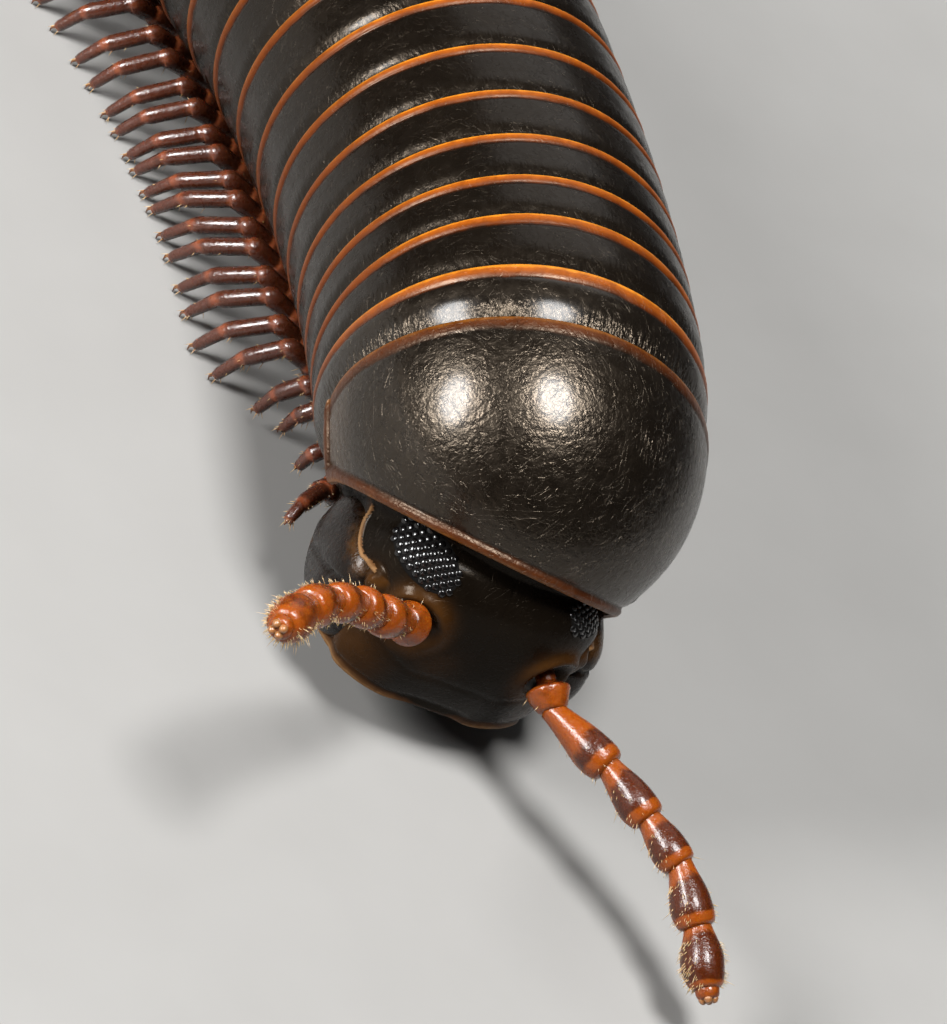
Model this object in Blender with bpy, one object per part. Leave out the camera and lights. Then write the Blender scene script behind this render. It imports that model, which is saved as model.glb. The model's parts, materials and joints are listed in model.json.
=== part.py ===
"""A giant black millipede at life size, walking on a flat floor at z = 0, its head towards -Y.

The body is a chain of rings along one line that sways from side to side. Each ring is a short
drum with a narrower front, so that the hem of the ring before it stands proud, and it carries
its own legs. The head, its shield and the tail are built in the frame of the ring they meet.
"""

import math

import bmesh
import bpy
import numpy as np
from mathutils import Vector

MM = 0.001

# Body rings, numbered from 2 as the shield behind the head is the first
FIRST_RING = 2
LAST_RING = 46
LAST_SINGLE_RING = 4
LAST_LEGGED_RING = 44
BODY_RADIUS = 5.0 * MM
NECK_SLIMMING = 0.23 * MM
NECK_RINGS = 9
TAIL_SLIMMING = 0.9 * MM
TAIL_SPREAD = 3.0
RING_PITCH = 2.15 * MM
FRONT_SHORTENING = 0.8 * MM
FRONT_SPREAD = 5.0
TAIL_SHORTENING = 0.35
TAIL_PITCH_SPREAD = 2.2
RING_SIDES = 18
GROOVE_DEPTH = 0.03
SHOULDER_PLACE = 0.38
BELLY_FLATNESS = 0.95
GAP = 0.3 * MM
ROOM = 0.33 * MM

# The line of the body on the floor
AXIS_HEIGHT = 6.1 * MM
SWAY = math.radians(28)
SWAY_WAVE = 100 * MM
SWAY_START = math.radians(-73)
HEAD_DIP = math.radians(10.7)
HEAD_DIP_REACH = 3.0 * MM
FRONT_RISE = math.radians(1.7)
FRONT_RISE_REACH = 15 * MM
LINE_STEP = 0.05 * MM
LINE_START = (2.2 * MM, -38.5 * MM)

# Legs: the shape of one that stands, and how the walking wave moves it
LEG_SPACING_SHARES = (0.25, 0.75)
LEG_ROOT_OUT = 0.80 * MM
LEG_ROOT_DEPTH = 1.1 * MM
ANKLE_BULGE = 0.18 * MM
HIP_OUT = 1.20 * MM
HIP_DROP = 0.40 * MM
STANDING_LEG = (4.90, 0.00, 3.50, 0.42)
ANKLE_SHARE = 0.68
LEG_RADII = (0.35 * MM, 0.33 * MM, 0.27 * MM, 0.22 * MM, 0.15 * MM)
FORWARD_SHARES = (0.0, 0.0, 0.35, 0.75, 1.0)
WAVE_LEGS = 13
WAVE_SWING = 0.50 * MM
FRONT_FAN = 2.9 * MM
FRONT_FAN_REACH = 2.1 * MM
SWEEP_BACK = 1.2 * MM
SWEEP_REACH = 4.0 * MM
# The first legs, from the head back: foot out, foot lift, knee out, knee rise, in millimetres
FRONT_LEGS = (
    (4.05, 1.90, 3.05, 0.65), (3.05, 1.25, 2.45, -0.15), (2.85, 0.80, 2.40, -0.15),
    (3.05, 0.60, 2.55, 0.00), (3.55, 0.30, 2.85, 0.15), (4.45, 0.00, 3.30, 0.35),
)

# Shield behind the head, a dome cut by a slanting front plane and a level lower one
SHIELD_RADIUS = 4.77 * MM
SHIELD_LENGTH = 5.15 * MM
SHIELD_FRONT_TILT = math.radians(57)
SHIELD_FRONT_ROLL = math.radians(5)
SHIELD_FRONT_REACH = 2.44 * MM
SHIELD_LOBE_DROP = 1.8 * MM
DOME_SIDES = 30
DOME_ROWS = 15

# Head, in millimetres forward, to the left and up from the centre of the shield's hem
HEAD_CENTRE = (2.2 * MM, -0.1 * MM, -2.35 * MM)
HEAD_HALF = (3.25 * MM, 3.35 * MM, 2.75 * MM)
HEAD_SQUARENESS = 2.6
FACE_DROP = 1.3 * MM
FACE_LEAN = 0.3 * MM
LIP_PLACE = (4.7 * MM, -0.1 * MM, -4.9 * MM)
UNDERSIDE_SLOPE = math.radians(6)
NOTCH_CENTRE = (4.95 * MM, 0.0, -5.25 * MM)
NOTCH_HALF = (0.6 * MM, 0.75 * MM, 0.55 * MM)
EYE_CENTRE = (4.3 * MM, 2.3 * MM, -0.65 * MM)
EYE_HALF = (1.2 * MM, 0.62 * MM, 0.85 * MM)
EYE_TURN = math.radians(25)
CHEEK_CENTRE = (2.4 * MM, 2.8 * MM, -3.1 * MM)
CHEEK_HALF = (1.6 * MM, 0.85 * MM, 1.5 * MM)
CHIN_CENTRE = (2.2 * MM, 0.0, -4.75 * MM)
CHIN_HALF = (2.1 * MM, 2.1 * MM, 0.6 * MM)

# Feelers: the length of each article in millimetres forward, outward and upward
LEFT_FEELER_ROOT = (4.74 * MM, 1.84 * MM, -2.43 * MM)
LEFT_FEELER_STEPS = (
    (0.94, 0.43, -0.42), (1.39, 1.37, 0.07), (1.18, 1.06, -0.14),
    (1.00, 0.87, -0.20), (1.22, 0.70, -0.62), (1.23, 0.51, -0.68),
)
RIGHT_FEELER_ROOT = (5.13 * MM, 1.90 * MM, -2.27 * MM)
RIGHT_FEELER_STEPS = (
    (0.66, 0.55, 0.55), (1.24, 1.29, 0.89), (0.76, 0.98, 0.65),
    (0.83, 0.98, 0.47), (1.04, 0.98, 0.37), (1.20, 0.80, 0.19),
)
FEELER_NECKS = (0.44 * MM, 0.28 * MM, 0.30 * MM, 0.30 * MM, 0.30 * MM, 0.32 * MM)
FEELER_BULBS = (0.54 * MM, 0.54 * MM, 0.50 * MM, 0.48 * MM, 0.54 * MM, 0.56 * MM)
FEELER_ENDS = (0.34 * MM, 0.46 * MM, 0.42 * MM, 0.41 * MM, 0.44 * MM, 0.40 * MM)
FEELER_TIP_RADIUS = 0.26 * MM
FEELER_TIP_LENGTH = 0.28 * MM
FEELER_SIDES = 8
BULB_PLACE = 0.76

# Tail: last ring with its point, two valves and the scale beneath them
TAIL_RING_LENGTH = 2.6 * MM
TAIL_RING_NARROWING = 0.80
TAIL_POINT_REACH = 0.9 * MM
VALVE_HALF = (2.5 * MM, 2.9 * MM, 2.75 * MM)
VALVE_DROP = 0.15 * MM
SCALE_HALF = (1.6 * MM, 1.7 * MM, 0.8 * MM)

BLACK = ("black cuticle", (0.020, 0.016, 0.013), 0.25)
BROWN = ("brown cuticle", (0.10, 0.028, 0.012), 0.35)
ORANGE = ("orange cuticle", (0.42, 0.13, 0.04), 0.35)
EYE_BLACK = ("eye black", (0.006, 0.006, 0.007), 0.12)


def material(look):
    """The named material, made once."""
    name, colour, roughness = look
    found = bpy.data.materials.get(name)
    if found:
        return found
    made = bpy.data.materials.new(name)
    made.use_nodes = True
    surface = made.node_tree.nodes["Principled BSDF"]
    surface.inputs["Base Color"].default_value = (*colour, 1.0)
    surface.inputs["Roughness"].default_value = roughness
    surface.inputs["Metallic"].default_value = 0.0
    return made


def add_object(name, points, faces, look):
    """A mesh object from points and faces, with its normals pointing outwards."""
    mesh = bpy.data.meshes.new(name)
    mesh.from_pydata([tuple(map(float, p)) for p in points], [], faces)
    work = bmesh.new()
    work.from_mesh(mesh)
    bmesh.ops.triangulate(work, faces=work.faces)
    bmesh.ops.recalc_face_normals(work, faces=work.faces)
    work.to_mesh(mesh)
    work.free()
    mesh.materials.append(material(look))
    made = bpy.data.objects.new(name, mesh)
    bpy.context.scene.collection.objects.link(made)
    return made


def loft(sections):
    """Points and faces of a closed skin over a list of sections, each with the same number of points."""
    count = len(sections[0])
    points = np.concatenate(sections)
    faces = []
    for row in range(len(sections) - 1):
        for k in range(count):
            a = row * count + k
            b = row * count + (k + 1) % count
            faces.append((a, b, b + count, a + count))
    faces.append(tuple(range(count))[::-1])
    faces.append(tuple(range(len(points) - count, len(points))))
    return points, faces


def rounded(sides, rows, squareness):
    """Points and faces of a closed unit ball. A squareness of 2 is round, and more is boxier."""
    points = [(0.0, 0.0, 1.0)]
    for row in range(1, rows):
        fall = math.pi * row / rows
        for k in range(sides):
            turn = 2 * math.pi * k / sides
            points.append((math.sin(fall) * math.cos(turn), math.sin(fall) * math.sin(turn), math.cos(fall)))
    points.append((0.0, 0.0, -1.0))
    points = np.array(points)
    size = (np.abs(points) ** squareness).sum(axis=1) ** (1 / squareness)
    points = points / size[:, None]
    faces = []
    for k in range(sides):
        after = (k + 1) % sides
        faces.append((0, 1 + k, 1 + after))
        for row in range(rows - 2):
            a, b = 1 + row * sides + k, 1 + row * sides + after
            faces.append((a, a + sides, b + sides, b))
        low = 1 + (rows - 2) * sides
        faces.append((len(points) - 1, low + after, low + k))
    return points, faces


def cut(piece, point, normal):
    """Cuts off what lies beyond a plane, on the side that its normal points to, and closes the cut."""
    work = bmesh.new()
    work.from_mesh(piece.data)
    everything = work.verts[:] + work.edges[:] + work.faces[:]
    cutting = bmesh.ops.bisect_plane(
        work, geom=everything, dist=1e-7, plane_co=Vector(point), plane_no=Vector(normal), clear_outer=True
    )
    rim = [e for e in cutting["geom_cut"] if isinstance(e, bmesh.types.BMEdge)]
    bmesh.ops.contextual_create(work, geom=rim)
    bmesh.ops.triangulate(work, faces=work.faces)
    bmesh.ops.recalc_face_normals(work, faces=work.faces)
    work.to_mesh(piece.data)
    work.free()


def combine(piece, others, operation):
    """Joins other closed objects to a piece, or cuts them from it, and removes them."""
    group = bpy.data.collections.new("pieces of " + piece.name)
    for other in others:
        group.objects.link(other)
    boolean = piece.modifiers.new("combine", "BOOLEAN")
    boolean.operation = operation
    boolean.solver = "EXACT"
    boolean.operand_type = "COLLECTION"
    boolean.collection = group
    graph = bpy.context.evaluated_depsgraph_get()
    made = bpy.data.meshes.new_from_object(piece.evaluated_get(graph))
    piece.modifiers.remove(boolean)
    old = piece.data
    piece.data = made
    bpy.data.meshes.remove(old)
    bpy.data.collections.remove(group)
    for other in others:
        bpy.data.objects.remove(other)
    keep_largest(piece)


def keep_largest(piece):
    """Keeps only the largest closed surface of a piece."""
    work = bmesh.new()
    work.from_mesh(piece.data)
    bmesh.ops.remove_doubles(work, verts=work.verts, dist=1e-7)
    left, groups = set(work.faces), []
    while left:
        group, front = set(), [left.pop()]
        while front:
            face = front.pop()
            group.add(face)
            near = {f for edge in face.edges for f in edge.link_faces} & left
            left -= near
            front.extend(near)
        groups.append(group)
    groups.sort(key=lambda group: sum(face.calc_area() for face in group))
    loose = [face for group in groups[:-1] for face in group]
    bmesh.ops.delete(work, geom=loose, context="FACES")
    bmesh.ops.triangulate(work, faces=work.faces)
    work.to_mesh(piece.data)
    work.free()


def smooth(share):
    """Rises from 0 to 1 with level ends as share goes from 0 to 1."""
    share = np.clip(share, 0.0, 1.0)
    return share * share * (3 - 2 * share)


def ring_pitch(ring):
    """Length of a ring along the body: short behind the head and before the tail."""
    front = FRONT_SHORTENING * math.exp(-(((ring - FIRST_RING) / FRONT_SPREAD) ** 2))
    tail = 1 - TAIL_SHORTENING * math.exp(-(((LAST_RING - ring) / TAIL_PITCH_SPREAD) ** 2))
    return (RING_PITCH - front) * tail


def ring_radius(ring):
    """Radius of the hem of a ring, where ring 1 is the shield."""
    neck = NECK_SLIMMING * math.exp(-(((ring - 1) / NECK_RINGS) ** 4))
    tail = TAIL_SLIMMING * math.exp(-(((LAST_RING - ring) / TAIL_SPREAD) ** 2))
    return BODY_RADIUS - neck - tail


RING_ENDS = np.cumsum([0.0] + [ring_pitch(ring) for ring in range(FIRST_RING, LAST_RING + 1)])


def body_line():
    """Points and backward directions along the body, from the shield's hem to the last ring's end."""
    along = np.arange(0.0, RING_ENDS[-1] + 2 * LINE_STEP, LINE_STEP)
    turn = SWAY * np.sin(2 * math.pi * along / SWAY_WAVE + SWAY_START)
    rise = FRONT_RISE * np.sin(math.pi * np.clip(along / FRONT_RISE_REACH, 0, 1)) ** 2
    slope = HEAD_DIP * (1 - smooth(along / HEAD_DIP_REACH)) - rise
    back = np.stack([-np.sin(turn) * np.cos(slope), np.cos(turn) * np.cos(slope), np.sin(slope)], axis=1)
    steps = (back[1:] + back[:-1]) / 2 * LINE_STEP
    points = np.concatenate([np.zeros((1, 3)), np.cumsum(steps, axis=0)])
    points += (*LINE_START, AXIS_HEIGHT - points[-1, 2])
    return along, points, back


ALONG, LINE, BACK = body_line()


def station(along):
    """Centre, backward, left and up directions of the body at a length behind the shield's hem."""
    centre = np.array([np.interp(along, ALONG, LINE[:, k]) for k in range(3)])
    back = np.array([np.interp(along, ALONG, BACK[:, k]) for k in range(3)])
    back /= np.linalg.norm(back)
    left = np.cross((0.0, 0.0, 1.0), -back)
    left /= np.linalg.norm(left)
    return centre, back, left, np.cross(-back, left)


def drum_section(along, offset, radius, sides=RING_SIDES):
    """Outline of the body at a station, moved back by offset. The belly is a little flat."""
    centre, back, left, up = station(along)
    turn = 2 * math.pi * (np.arange(sides) + 0.5) / sides
    across = np.sin(turn) * radius
    rise = np.maximum(np.cos(turn), -BELLY_FLATNESS) * radius
    return centre + back * offset + across[:, None] * left + rise[:, None] * up


def tube_section(centre, direction, radius, sides=4):
    """Outline of a tube round its line, with its first side level."""
    side = np.cross(direction, (0.0, 0.0, 1.0))
    side /= np.linalg.norm(side)
    other = np.cross(side, direction)
    other /= np.linalg.norm(other)
    turn = 2 * math.pi * (np.arange(sides) + 0.5) / sides
    return centre + radius * (np.cos(turn)[:, None] * side + np.sin(turn)[:, None] * other)


def leg(name, along, radius, hand, number):
    """One leg of few sides. hand is 1 on the left and -1 on the right, number counts pairs from the head."""
    centre, back, left, up = station(along)
    out, ahead = left * hand, -back * (1, 1, 0)
    ahead /= np.linalg.norm(ahead)
    under = centre - up * (radius * BELLY_FLATNESS)
    belly = under[2]
    shape = FRONT_LEGS[number] if number < len(FRONT_LEGS) else STANDING_LEG
    foot_out, lift, knee_out, knee_rise = (size * MM for size in shape)
    fan = FRONT_FAN * math.exp(-along / FRONT_FAN_REACH)
    wave = WAVE_SWING * math.sin(2 * math.pi * number / WAVE_LEGS + (hand > 0) * 0.6)
    sweep = SWEEP_BACK * (1 - math.exp(-((along / SWEEP_REACH) ** 2)))
    forward = fan + wave * (1 - math.exp(-along / FRONT_FAN_REACH)) - sweep
    knee = belly + knee_rise
    ankle = knee + (lift - knee) * ANKLE_SHARE**1.5 + ANKLE_BULGE
    outs = (LEG_ROOT_OUT, HIP_OUT, knee_out, knee_out + (foot_out - knee_out) * ANKLE_SHARE, foot_out)
    places = []
    for reach, height, share in zip(outs, (belly, belly - HIP_DROP, knee, ankle, lift), FORWARD_SHARES):
        place = under + out * reach + ahead * (forward * share)
        place[2] = height
        places.append(place)
    places[0] += up * LEG_ROOT_DEPTH
    places = np.array(places)
    runs = np.diff(places, axis=0)
    runs /= np.linalg.norm(runs, axis=1)[:, None]
    bends = np.concatenate([runs[:1], runs[:-1] + runs[1:], runs[-1:]])
    sections = [tube_section(*item) for item in zip(places, bends, LEG_RADII)]
    sections[-1][:, 2] = lift
    return add_object(name, *loft(sections), BLACK)


def body_ring(ring, first_number):
    """One ring of the body with its legs joined to it. Returns the number of the next pair of legs."""
    start, end = RING_ENDS[ring - FIRST_RING], RING_ENDS[ring - FIRST_RING + 1]
    front, rear = ring_radius(ring - 1), ring_radius(ring)
    shoulder = start + (end - start) * SHOULDER_PLACE
    middle = front + (rear - front) * SHOULDER_PLACE
    sections = [
        drum_section(start, GAP / 2, min(front, rear) * (1 - GROOVE_DEPTH)),
        drum_section(shoulder, 0.0, middle),
        drum_section(end, -GAP / 2, rear),
    ]
    made = add_object(f"ring_{ring:02d}", *loft(sections), BLACK)
    if ring > LAST_LEGGED_RING:
        return first_number
    shares = (0.5,) if ring <= LAST_SINGLE_RING else LEG_SPACING_SHARES
    legs = []
    for place, share in enumerate(shares):
        along = start + GAP / 2 + (end - start - GAP) * share
        for hand in (1, -1):
            legs.append(leg(f"leg {ring} {place} {hand}", along, middle, hand, first_number + place))
    combine(made, legs, "UNION")
    return first_number + len(shares)


def head_frame():
    """Centre of the shield's hem with level forward and left directions, and up."""
    centre, back, left, _ = station(0.0)
    forward = -back * (1, 1, 0)
    return centre, np.array([forward / np.linalg.norm(forward), left, (0.0, 0.0, 1.0)])


HEAD_ORIGIN, HEAD_AXES = head_frame()


def on_head(places):
    """World places of points given forward, to the left and up from the shield's hem."""
    return HEAD_ORIGIN + np.atleast_2d(places) @ HEAD_AXES


def ball(name, centre, half, look, sides=16, rows=8, squareness=2.0, turn=0.0):
    """A rounded lump in the head's frame, turned about the upright through its centre."""
    points, faces = rounded(sides, rows, squareness)
    spots = points * half
    turned = spots.copy()
    turned[:, 0] = spots[:, 0] * math.cos(turn) - spots[:, 1] * math.sin(turn)
    turned[:, 1] = spots[:, 0] * math.sin(turn) + spots[:, 1] * math.cos(turn)
    return add_object(name, on_head(np.array(centre) + turned), faces, look)


def shield(name, grow):
    """The dome behind the head, or with grow a larger one that cuts the head clear of it."""
    _, back, _, _ = station(0.0)
    size = np.array((SHIELD_LENGTH, SHIELD_RADIUS, SHIELD_RADIUS)) + grow
    points, faces = rounded(DOME_SIDES, DOME_ROWS, 2.0)
    made = add_object(name, on_head(points * size), faces, BLACK)
    down = np.array((math.cos(SHIELD_FRONT_TILT), -math.sin(SHIELD_FRONT_ROLL), -math.sin(SHIELD_FRONT_TILT)))
    down /= np.linalg.norm(down)
    cut(made, on_head(down * (SHIELD_FRONT_REACH + grow))[0], down @ HEAD_AXES)
    cut(made, HEAD_ORIGIN + back * (grow - GAP / 2), back)
    cut(made, HEAD_ORIGIN - (0.0, 0.0, SHIELD_LOBE_DROP + grow), (0.0, 0.0, -1.0))
    return made


def head():
    """The head: a rounded box with a full face, cut flat beneath, with a shallow notch in the lip."""
    points, faces = rounded(20, 11, HEAD_SQUARENESS)
    low = smooth(-points[:, 2])
    places = np.array(HEAD_CENTRE) + points * HEAD_HALF
    places[:, 2] -= FACE_DROP * low * (0.5 + 0.5 * points[:, 0])
    places[:, 0] -= FACE_LEAN * low
    made = add_object("head", on_head(places), faces, BLACK)
    _, back, _, _ = station(0.0)
    cut(made, HEAD_ORIGIN - back * (GAP / 2), back)
    slope = np.array((-math.sin(UNDERSIDE_SLOPE), 0.0, -math.cos(UNDERSIDE_SLOPE)))
    cut(made, on_head(LIP_PLACE)[0], slope @ HEAD_AXES)
    combine(made, [ball("notch", NOTCH_CENTRE, NOTCH_HALF, BLACK, 10, 6)], "DIFFERENCE")
    return made


def grown(half):
    """Half sizes of a lump made larger by the room left round it."""
    return tuple(size + ROOM for size in half)


def feeler(name, root, steps, hand, grow=0.0):
    """A feeler of six articles, each narrow at its near end and widest past its middle, and a blunt tip."""
    places = [np.array(root)]
    for step in steps:
        places.append(places[-1] + np.array(step) * MM)
    places = np.array(places) * (1, hand, 1)
    places[0] -= (places[1] - places[0]) / np.linalg.norm(places[1] - places[0]) * grow
    sections = []
    for article in range(len(steps)):
        near, far = places[article], places[article + 1]
        run = (far - near) @ HEAD_AXES
        if article:
            run = run + (near - places[article - 1]) @ HEAD_AXES
        profile = ((0.0, FEELER_NECKS), (BULB_PLACE, FEELER_BULBS), (0.95, FEELER_ENDS))
        for share, radii in profile:
            centre = on_head(near + (far - near) * share)[0]
            direction = run if share == 0.0 else (far - near) @ HEAD_AXES
            sections.append(tube_section(centre, direction, radii[article] + grow, FEELER_SIDES))
    last = (places[-1] - places[-2]) @ HEAD_AXES
    tip = on_head(places[-1])[0] + last / np.linalg.norm(last) * FEELER_TIP_LENGTH
    sections.append(tube_section(tip, last, FEELER_TIP_RADIUS + grow, FEELER_SIDES))
    return add_object(name, *loft(sections), ORANGE)


def face_pieces(grow_name=""):
    """Eyes, cheeks and chin plate, or with a name for them, grown copies that cut the head clear."""
    grow = bool(grow_name)
    made = []
    for side, hand in (("left", 1), ("right", -1)):
        eye = (EYE_CENTRE[0], EYE_CENTRE[1] * hand, EYE_CENTRE[2])
        cheek = (CHEEK_CENTRE[0], CHEEK_CENTRE[1] * hand, CHEEK_CENTRE[2])
        eye_half = grown(EYE_HALF) if grow else EYE_HALF
        cheek_half = grown(CHEEK_HALF) if grow else CHEEK_HALF
        turn = -EYE_TURN * hand
        made.append(ball(f"{grow_name}eye_{side}", eye, eye_half, EYE_BLACK, 12, 6, turn=turn))
        made.append(ball(f"{grow_name}cheek_{side}", cheek, cheek_half, BROWN, 12, 6))
    chin_half = grown(CHIN_HALF) if grow else CHIN_HALF
    made.append(ball(grow_name + "chin", CHIN_CENTRE, chin_half, BROWN, 14, 6, 2.4))
    return made


def feelers(grow_name="", grow=0.0):
    """Both feelers, or grown copies that cut their sockets."""
    left = feeler(grow_name + "antenna_left", LEFT_FEELER_ROOT, LEFT_FEELER_STEPS, 1, grow)
    right = feeler(grow_name + "antenna_right", RIGHT_FEELER_ROOT, RIGHT_FEELER_STEPS, -1, grow)
    return [left, right]


def build_head():
    """The shield, the head and what sits in it, each cut clear of its neighbours by the gap."""
    shield("collum", 0.0)
    skull = head()
    pieces = face_pieces()
    for piece in pieces:
        combine(piece, [shield("shield room", ROOM)], "DIFFERENCE")
    by_name = {piece.name: piece for piece in pieces}
    for side in ("left", "right"):
        hand = 1 if side == "left" else -1
        room = (CHEEK_CENTRE[0], CHEEK_CENTRE[1] * hand, CHEEK_CENTRE[2])
        combine(by_name[f"eye_{side}"], [ball("cheek room", room, grown(CHEEK_HALF), BROWN, 12, 6)], "DIFFERENCE")
    rooms = face_pieces("room of ")
    for room in rooms:
        combine(skull, [room], "DIFFERENCE")
    combine(skull, [shield("shield room", ROOM)], "DIFFERENCE")
    for room in feelers("room of ", ROOM):
        combine(skull, [room], "DIFFERENCE")
    feelers()


def build_tail():
    """The last ring, which narrows to a blunt point above, the two valves and the scale below them."""
    centre, back, left, up = station(RING_ENDS[-1])
    axes = np.array([back, left, up])
    radius = ring_radius(LAST_RING)
    sections = []
    for share in (0.0, 0.35, 0.72, 1.0):
        reach = GAP / 2 + (TAIL_RING_LENGTH - GAP) * share
        size = radius * (1 - GROOVE_DEPTH) * (1 - (1 - TAIL_RING_NARROWING) * share**2)
        section = drum_section(RING_ENDS[-1], 0.0, size)
        height = (section - centre) @ up / size
        point = TAIL_POINT_REACH * np.clip(height, 0, 1) ** 4 * share**2
        sections.append(section + (reach + point)[:, None] * back)
    add_object("telson", *loft(sections), BLACK)
    points, faces = rounded(20, 12, 2.2)
    start = np.array((TAIL_RING_LENGTH - 0.4 * MM, 0.0, -VALVE_DROP))
    face = centre + back * (TAIL_RING_LENGTH - GAP / 2 + ROOM)
    for side, hand in (("left", 1), ("right", -1)):
        valve = add_object(f"valve_{side}", centre + (start + points * VALVE_HALF) @ axes, faces, BLACK)
        cut(valve, centre + left * (hand * GAP / 2), -left * hand)
        combine(valve, [tail_room(sections)], "DIFFERENCE")
        cut(valve, face, -back)
        cut(valve, face - up * (VALVE_HALF[2] * 0.72), -up)
    scale = np.array((TAIL_RING_LENGTH - 0.3 * MM, 0.0, -VALVE_HALF[2] * 0.72 - VALVE_DROP))
    made = add_object("anal_scale", centre + (scale + points * SCALE_HALF) @ axes, faces, BLACK)
    cut(made, face, -back)
    cut(made, face - up * (VALVE_HALF[2] * 0.72 + ROOM), up)


def tail_room(sections):
    """The last ring grown by the gap, to cut the valves clear of its point."""
    middle = np.mean(sections[0], axis=0)
    _, back, _, _ = station(RING_ENDS[-1])
    grown_sections = []
    for section in sections:
        axis = middle + ((section - middle) @ back)[:, None] * back
        spoke = section - axis
        spoke *= 1 + 1.5 * GAP / np.linalg.norm(spoke, axis=1)[:, None]
        grown_sections.append(axis + spoke)
    grown_sections[-1] = grown_sections[-1] + back * GAP * 2
    return add_object("tail room", *loft(grown_sections), BLACK)


def main():
    """Clears the scene and builds the millipede."""
    for old in list(bpy.data.objects):
        bpy.data.objects.remove(old)
    build_head()
    number = 0
    for ring in range(FIRST_RING, LAST_RING + 1):
        number = body_ring(ring, number)
    build_tail()
    print(number, "pairs of legs")


main()
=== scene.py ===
# %% [markdown]
# # A giant black millipede at life size
# The solids give the places and sizes, and this script gives the looks: ring plates with thin orange
# hems, a polished shield behind the head, bead eyes, jointed feelers and legs. Shapes are worked out
# with numpy in millimetres, as grids of points, and are written into meshes in metres.

# %% Loading the solids
import json
import math

import bpy
import numpy as np
from mathutils import Matrix

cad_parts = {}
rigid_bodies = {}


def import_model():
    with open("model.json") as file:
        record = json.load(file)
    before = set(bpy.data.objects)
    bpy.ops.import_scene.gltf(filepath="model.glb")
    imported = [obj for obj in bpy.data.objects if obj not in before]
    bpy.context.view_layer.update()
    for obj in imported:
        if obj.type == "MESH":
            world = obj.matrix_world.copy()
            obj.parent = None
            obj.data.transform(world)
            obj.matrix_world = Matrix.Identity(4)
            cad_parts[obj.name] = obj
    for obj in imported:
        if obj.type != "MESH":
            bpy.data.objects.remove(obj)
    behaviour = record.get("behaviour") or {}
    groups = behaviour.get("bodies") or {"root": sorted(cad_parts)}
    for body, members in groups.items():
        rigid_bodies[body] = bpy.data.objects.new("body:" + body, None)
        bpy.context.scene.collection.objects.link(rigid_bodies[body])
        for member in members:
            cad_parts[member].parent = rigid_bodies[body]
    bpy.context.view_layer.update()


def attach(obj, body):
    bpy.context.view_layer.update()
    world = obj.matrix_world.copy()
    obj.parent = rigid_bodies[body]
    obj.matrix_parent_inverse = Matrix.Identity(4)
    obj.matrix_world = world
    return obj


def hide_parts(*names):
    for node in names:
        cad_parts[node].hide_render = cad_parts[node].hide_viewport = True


for old in list(bpy.data.objects):
    bpy.data.objects.remove(old)


def new_object(name, data):
    """An object of a mesh, a camera or a lamp, linked to the scene."""
    made = bpy.data.objects.new(name, data)
    bpy.context.scene.collection.objects.link(made)
    return made


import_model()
MM = 0.001

# %% [markdown]
# ## Camera
# A close-up is taken with a long lens from about 16 cm, so the far rings shrink only a little. The
# camera stands above the head, on its right side, and is tilted, so that the body runs up the picture.
# Its three directions are the columns of its matrix.

# %% Camera
CAMERA_PLACE = np.array((-105.0525, -117.2606, 91.2247))
CAMERA_RIGHT = (0.73813, -0.46083, 0.49274)
CAMERA_UP = (0.00983, 0.73763, 0.67513)
CAMERA_BACK = (-0.67458, -0.49350, 0.54900)
FOCAL_LENGTH = 229.5
SENSOR_WIDTH = 36

lens = bpy.data.cameras.new("camera")
lens.sensor_width = SENSOR_WIDTH
lens.lens = FOCAL_LENGTH
lens.clip_start = 0.001
lens.clip_end = 20
camera = new_object("camera", lens)
columns = np.array([CAMERA_RIGHT, CAMERA_UP, CAMERA_BACK, CAMERA_PLACE * MM])
camera.matrix_world = Matrix([*columns.T.tolist(), [0, 0, 0, 1]])
bpy.context.scene.camera = camera
print("camera height", round(CAMERA_PLACE[2]), "mm")

# %% [markdown]
# ## The line of the body
# The body is a chain of rings, and every ring, leg and plate is placed from one line. Its direction
# sways like a slow wave, and the line is the running sum of its directions. A station on it is a
# centre with three directions: back along the body, left and up.

# %% The line of the body
FIRST_RING = 2
LAST_RING = 46
LAST_SINGLE_RING = 4
LAST_LEGGED_RING = 44
LINE_STEP = 0.05
SWAY, SWAY_LENGTH, SWAY_START = math.radians(28), 100, math.radians(-73)
HEAD_DIP = math.radians(10.7)
NECK_LENGTH = 3.0
HEM_PLACE = (2.2, -38.5)
TAIL_HEIGHT = 6.1


def ring_pitch(ring):
    """Length of a ring: 2.15 mm, less a bell curve behind the head, times a dip before the tail."""
    front = 0.8 * bell(ring - FIRST_RING, 5.0)
    tail = 1 - 0.35 * bell(LAST_RING - ring, 2.2)
    return (2.15 - front) * tail


def ring_radius(ring):
    """Radius of a ring's hem: 5 mm, less a flat bell curve at the neck and a bell curve at the tail."""
    neck = 0.23 * bell(ring - 1, 9.0, 4)
    tail = 0.9 * bell(LAST_RING - ring, 3.0)
    return 5.0 - neck - tail


def smooth(share):
    """Rises from 0 to 1 with level ends: 3 s^2 - 2 s^3."""
    share = np.clip(share, 0.0, 1.0)
    return share * share * (3 - 2 * share)


def bell(value, width, power=2):
    """A bell curve that is 1 at 0: exp(-(value / width)^power)."""
    return np.exp(-((value / width) ** power))


def held_positive(value, rounding):
    """A value held softly above 0: (v + sqrt(v^2 + rounding)) / 2."""
    return (value + np.sqrt(value**2 + rounding)) / 2


def arch(share):
    """A half ellipse over shares from 0 to 1, and 0 outside them."""
    share = np.clip(share, 0, 1)
    return np.sqrt(np.clip(4 * share * (1 - share), 0, 1))


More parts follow.
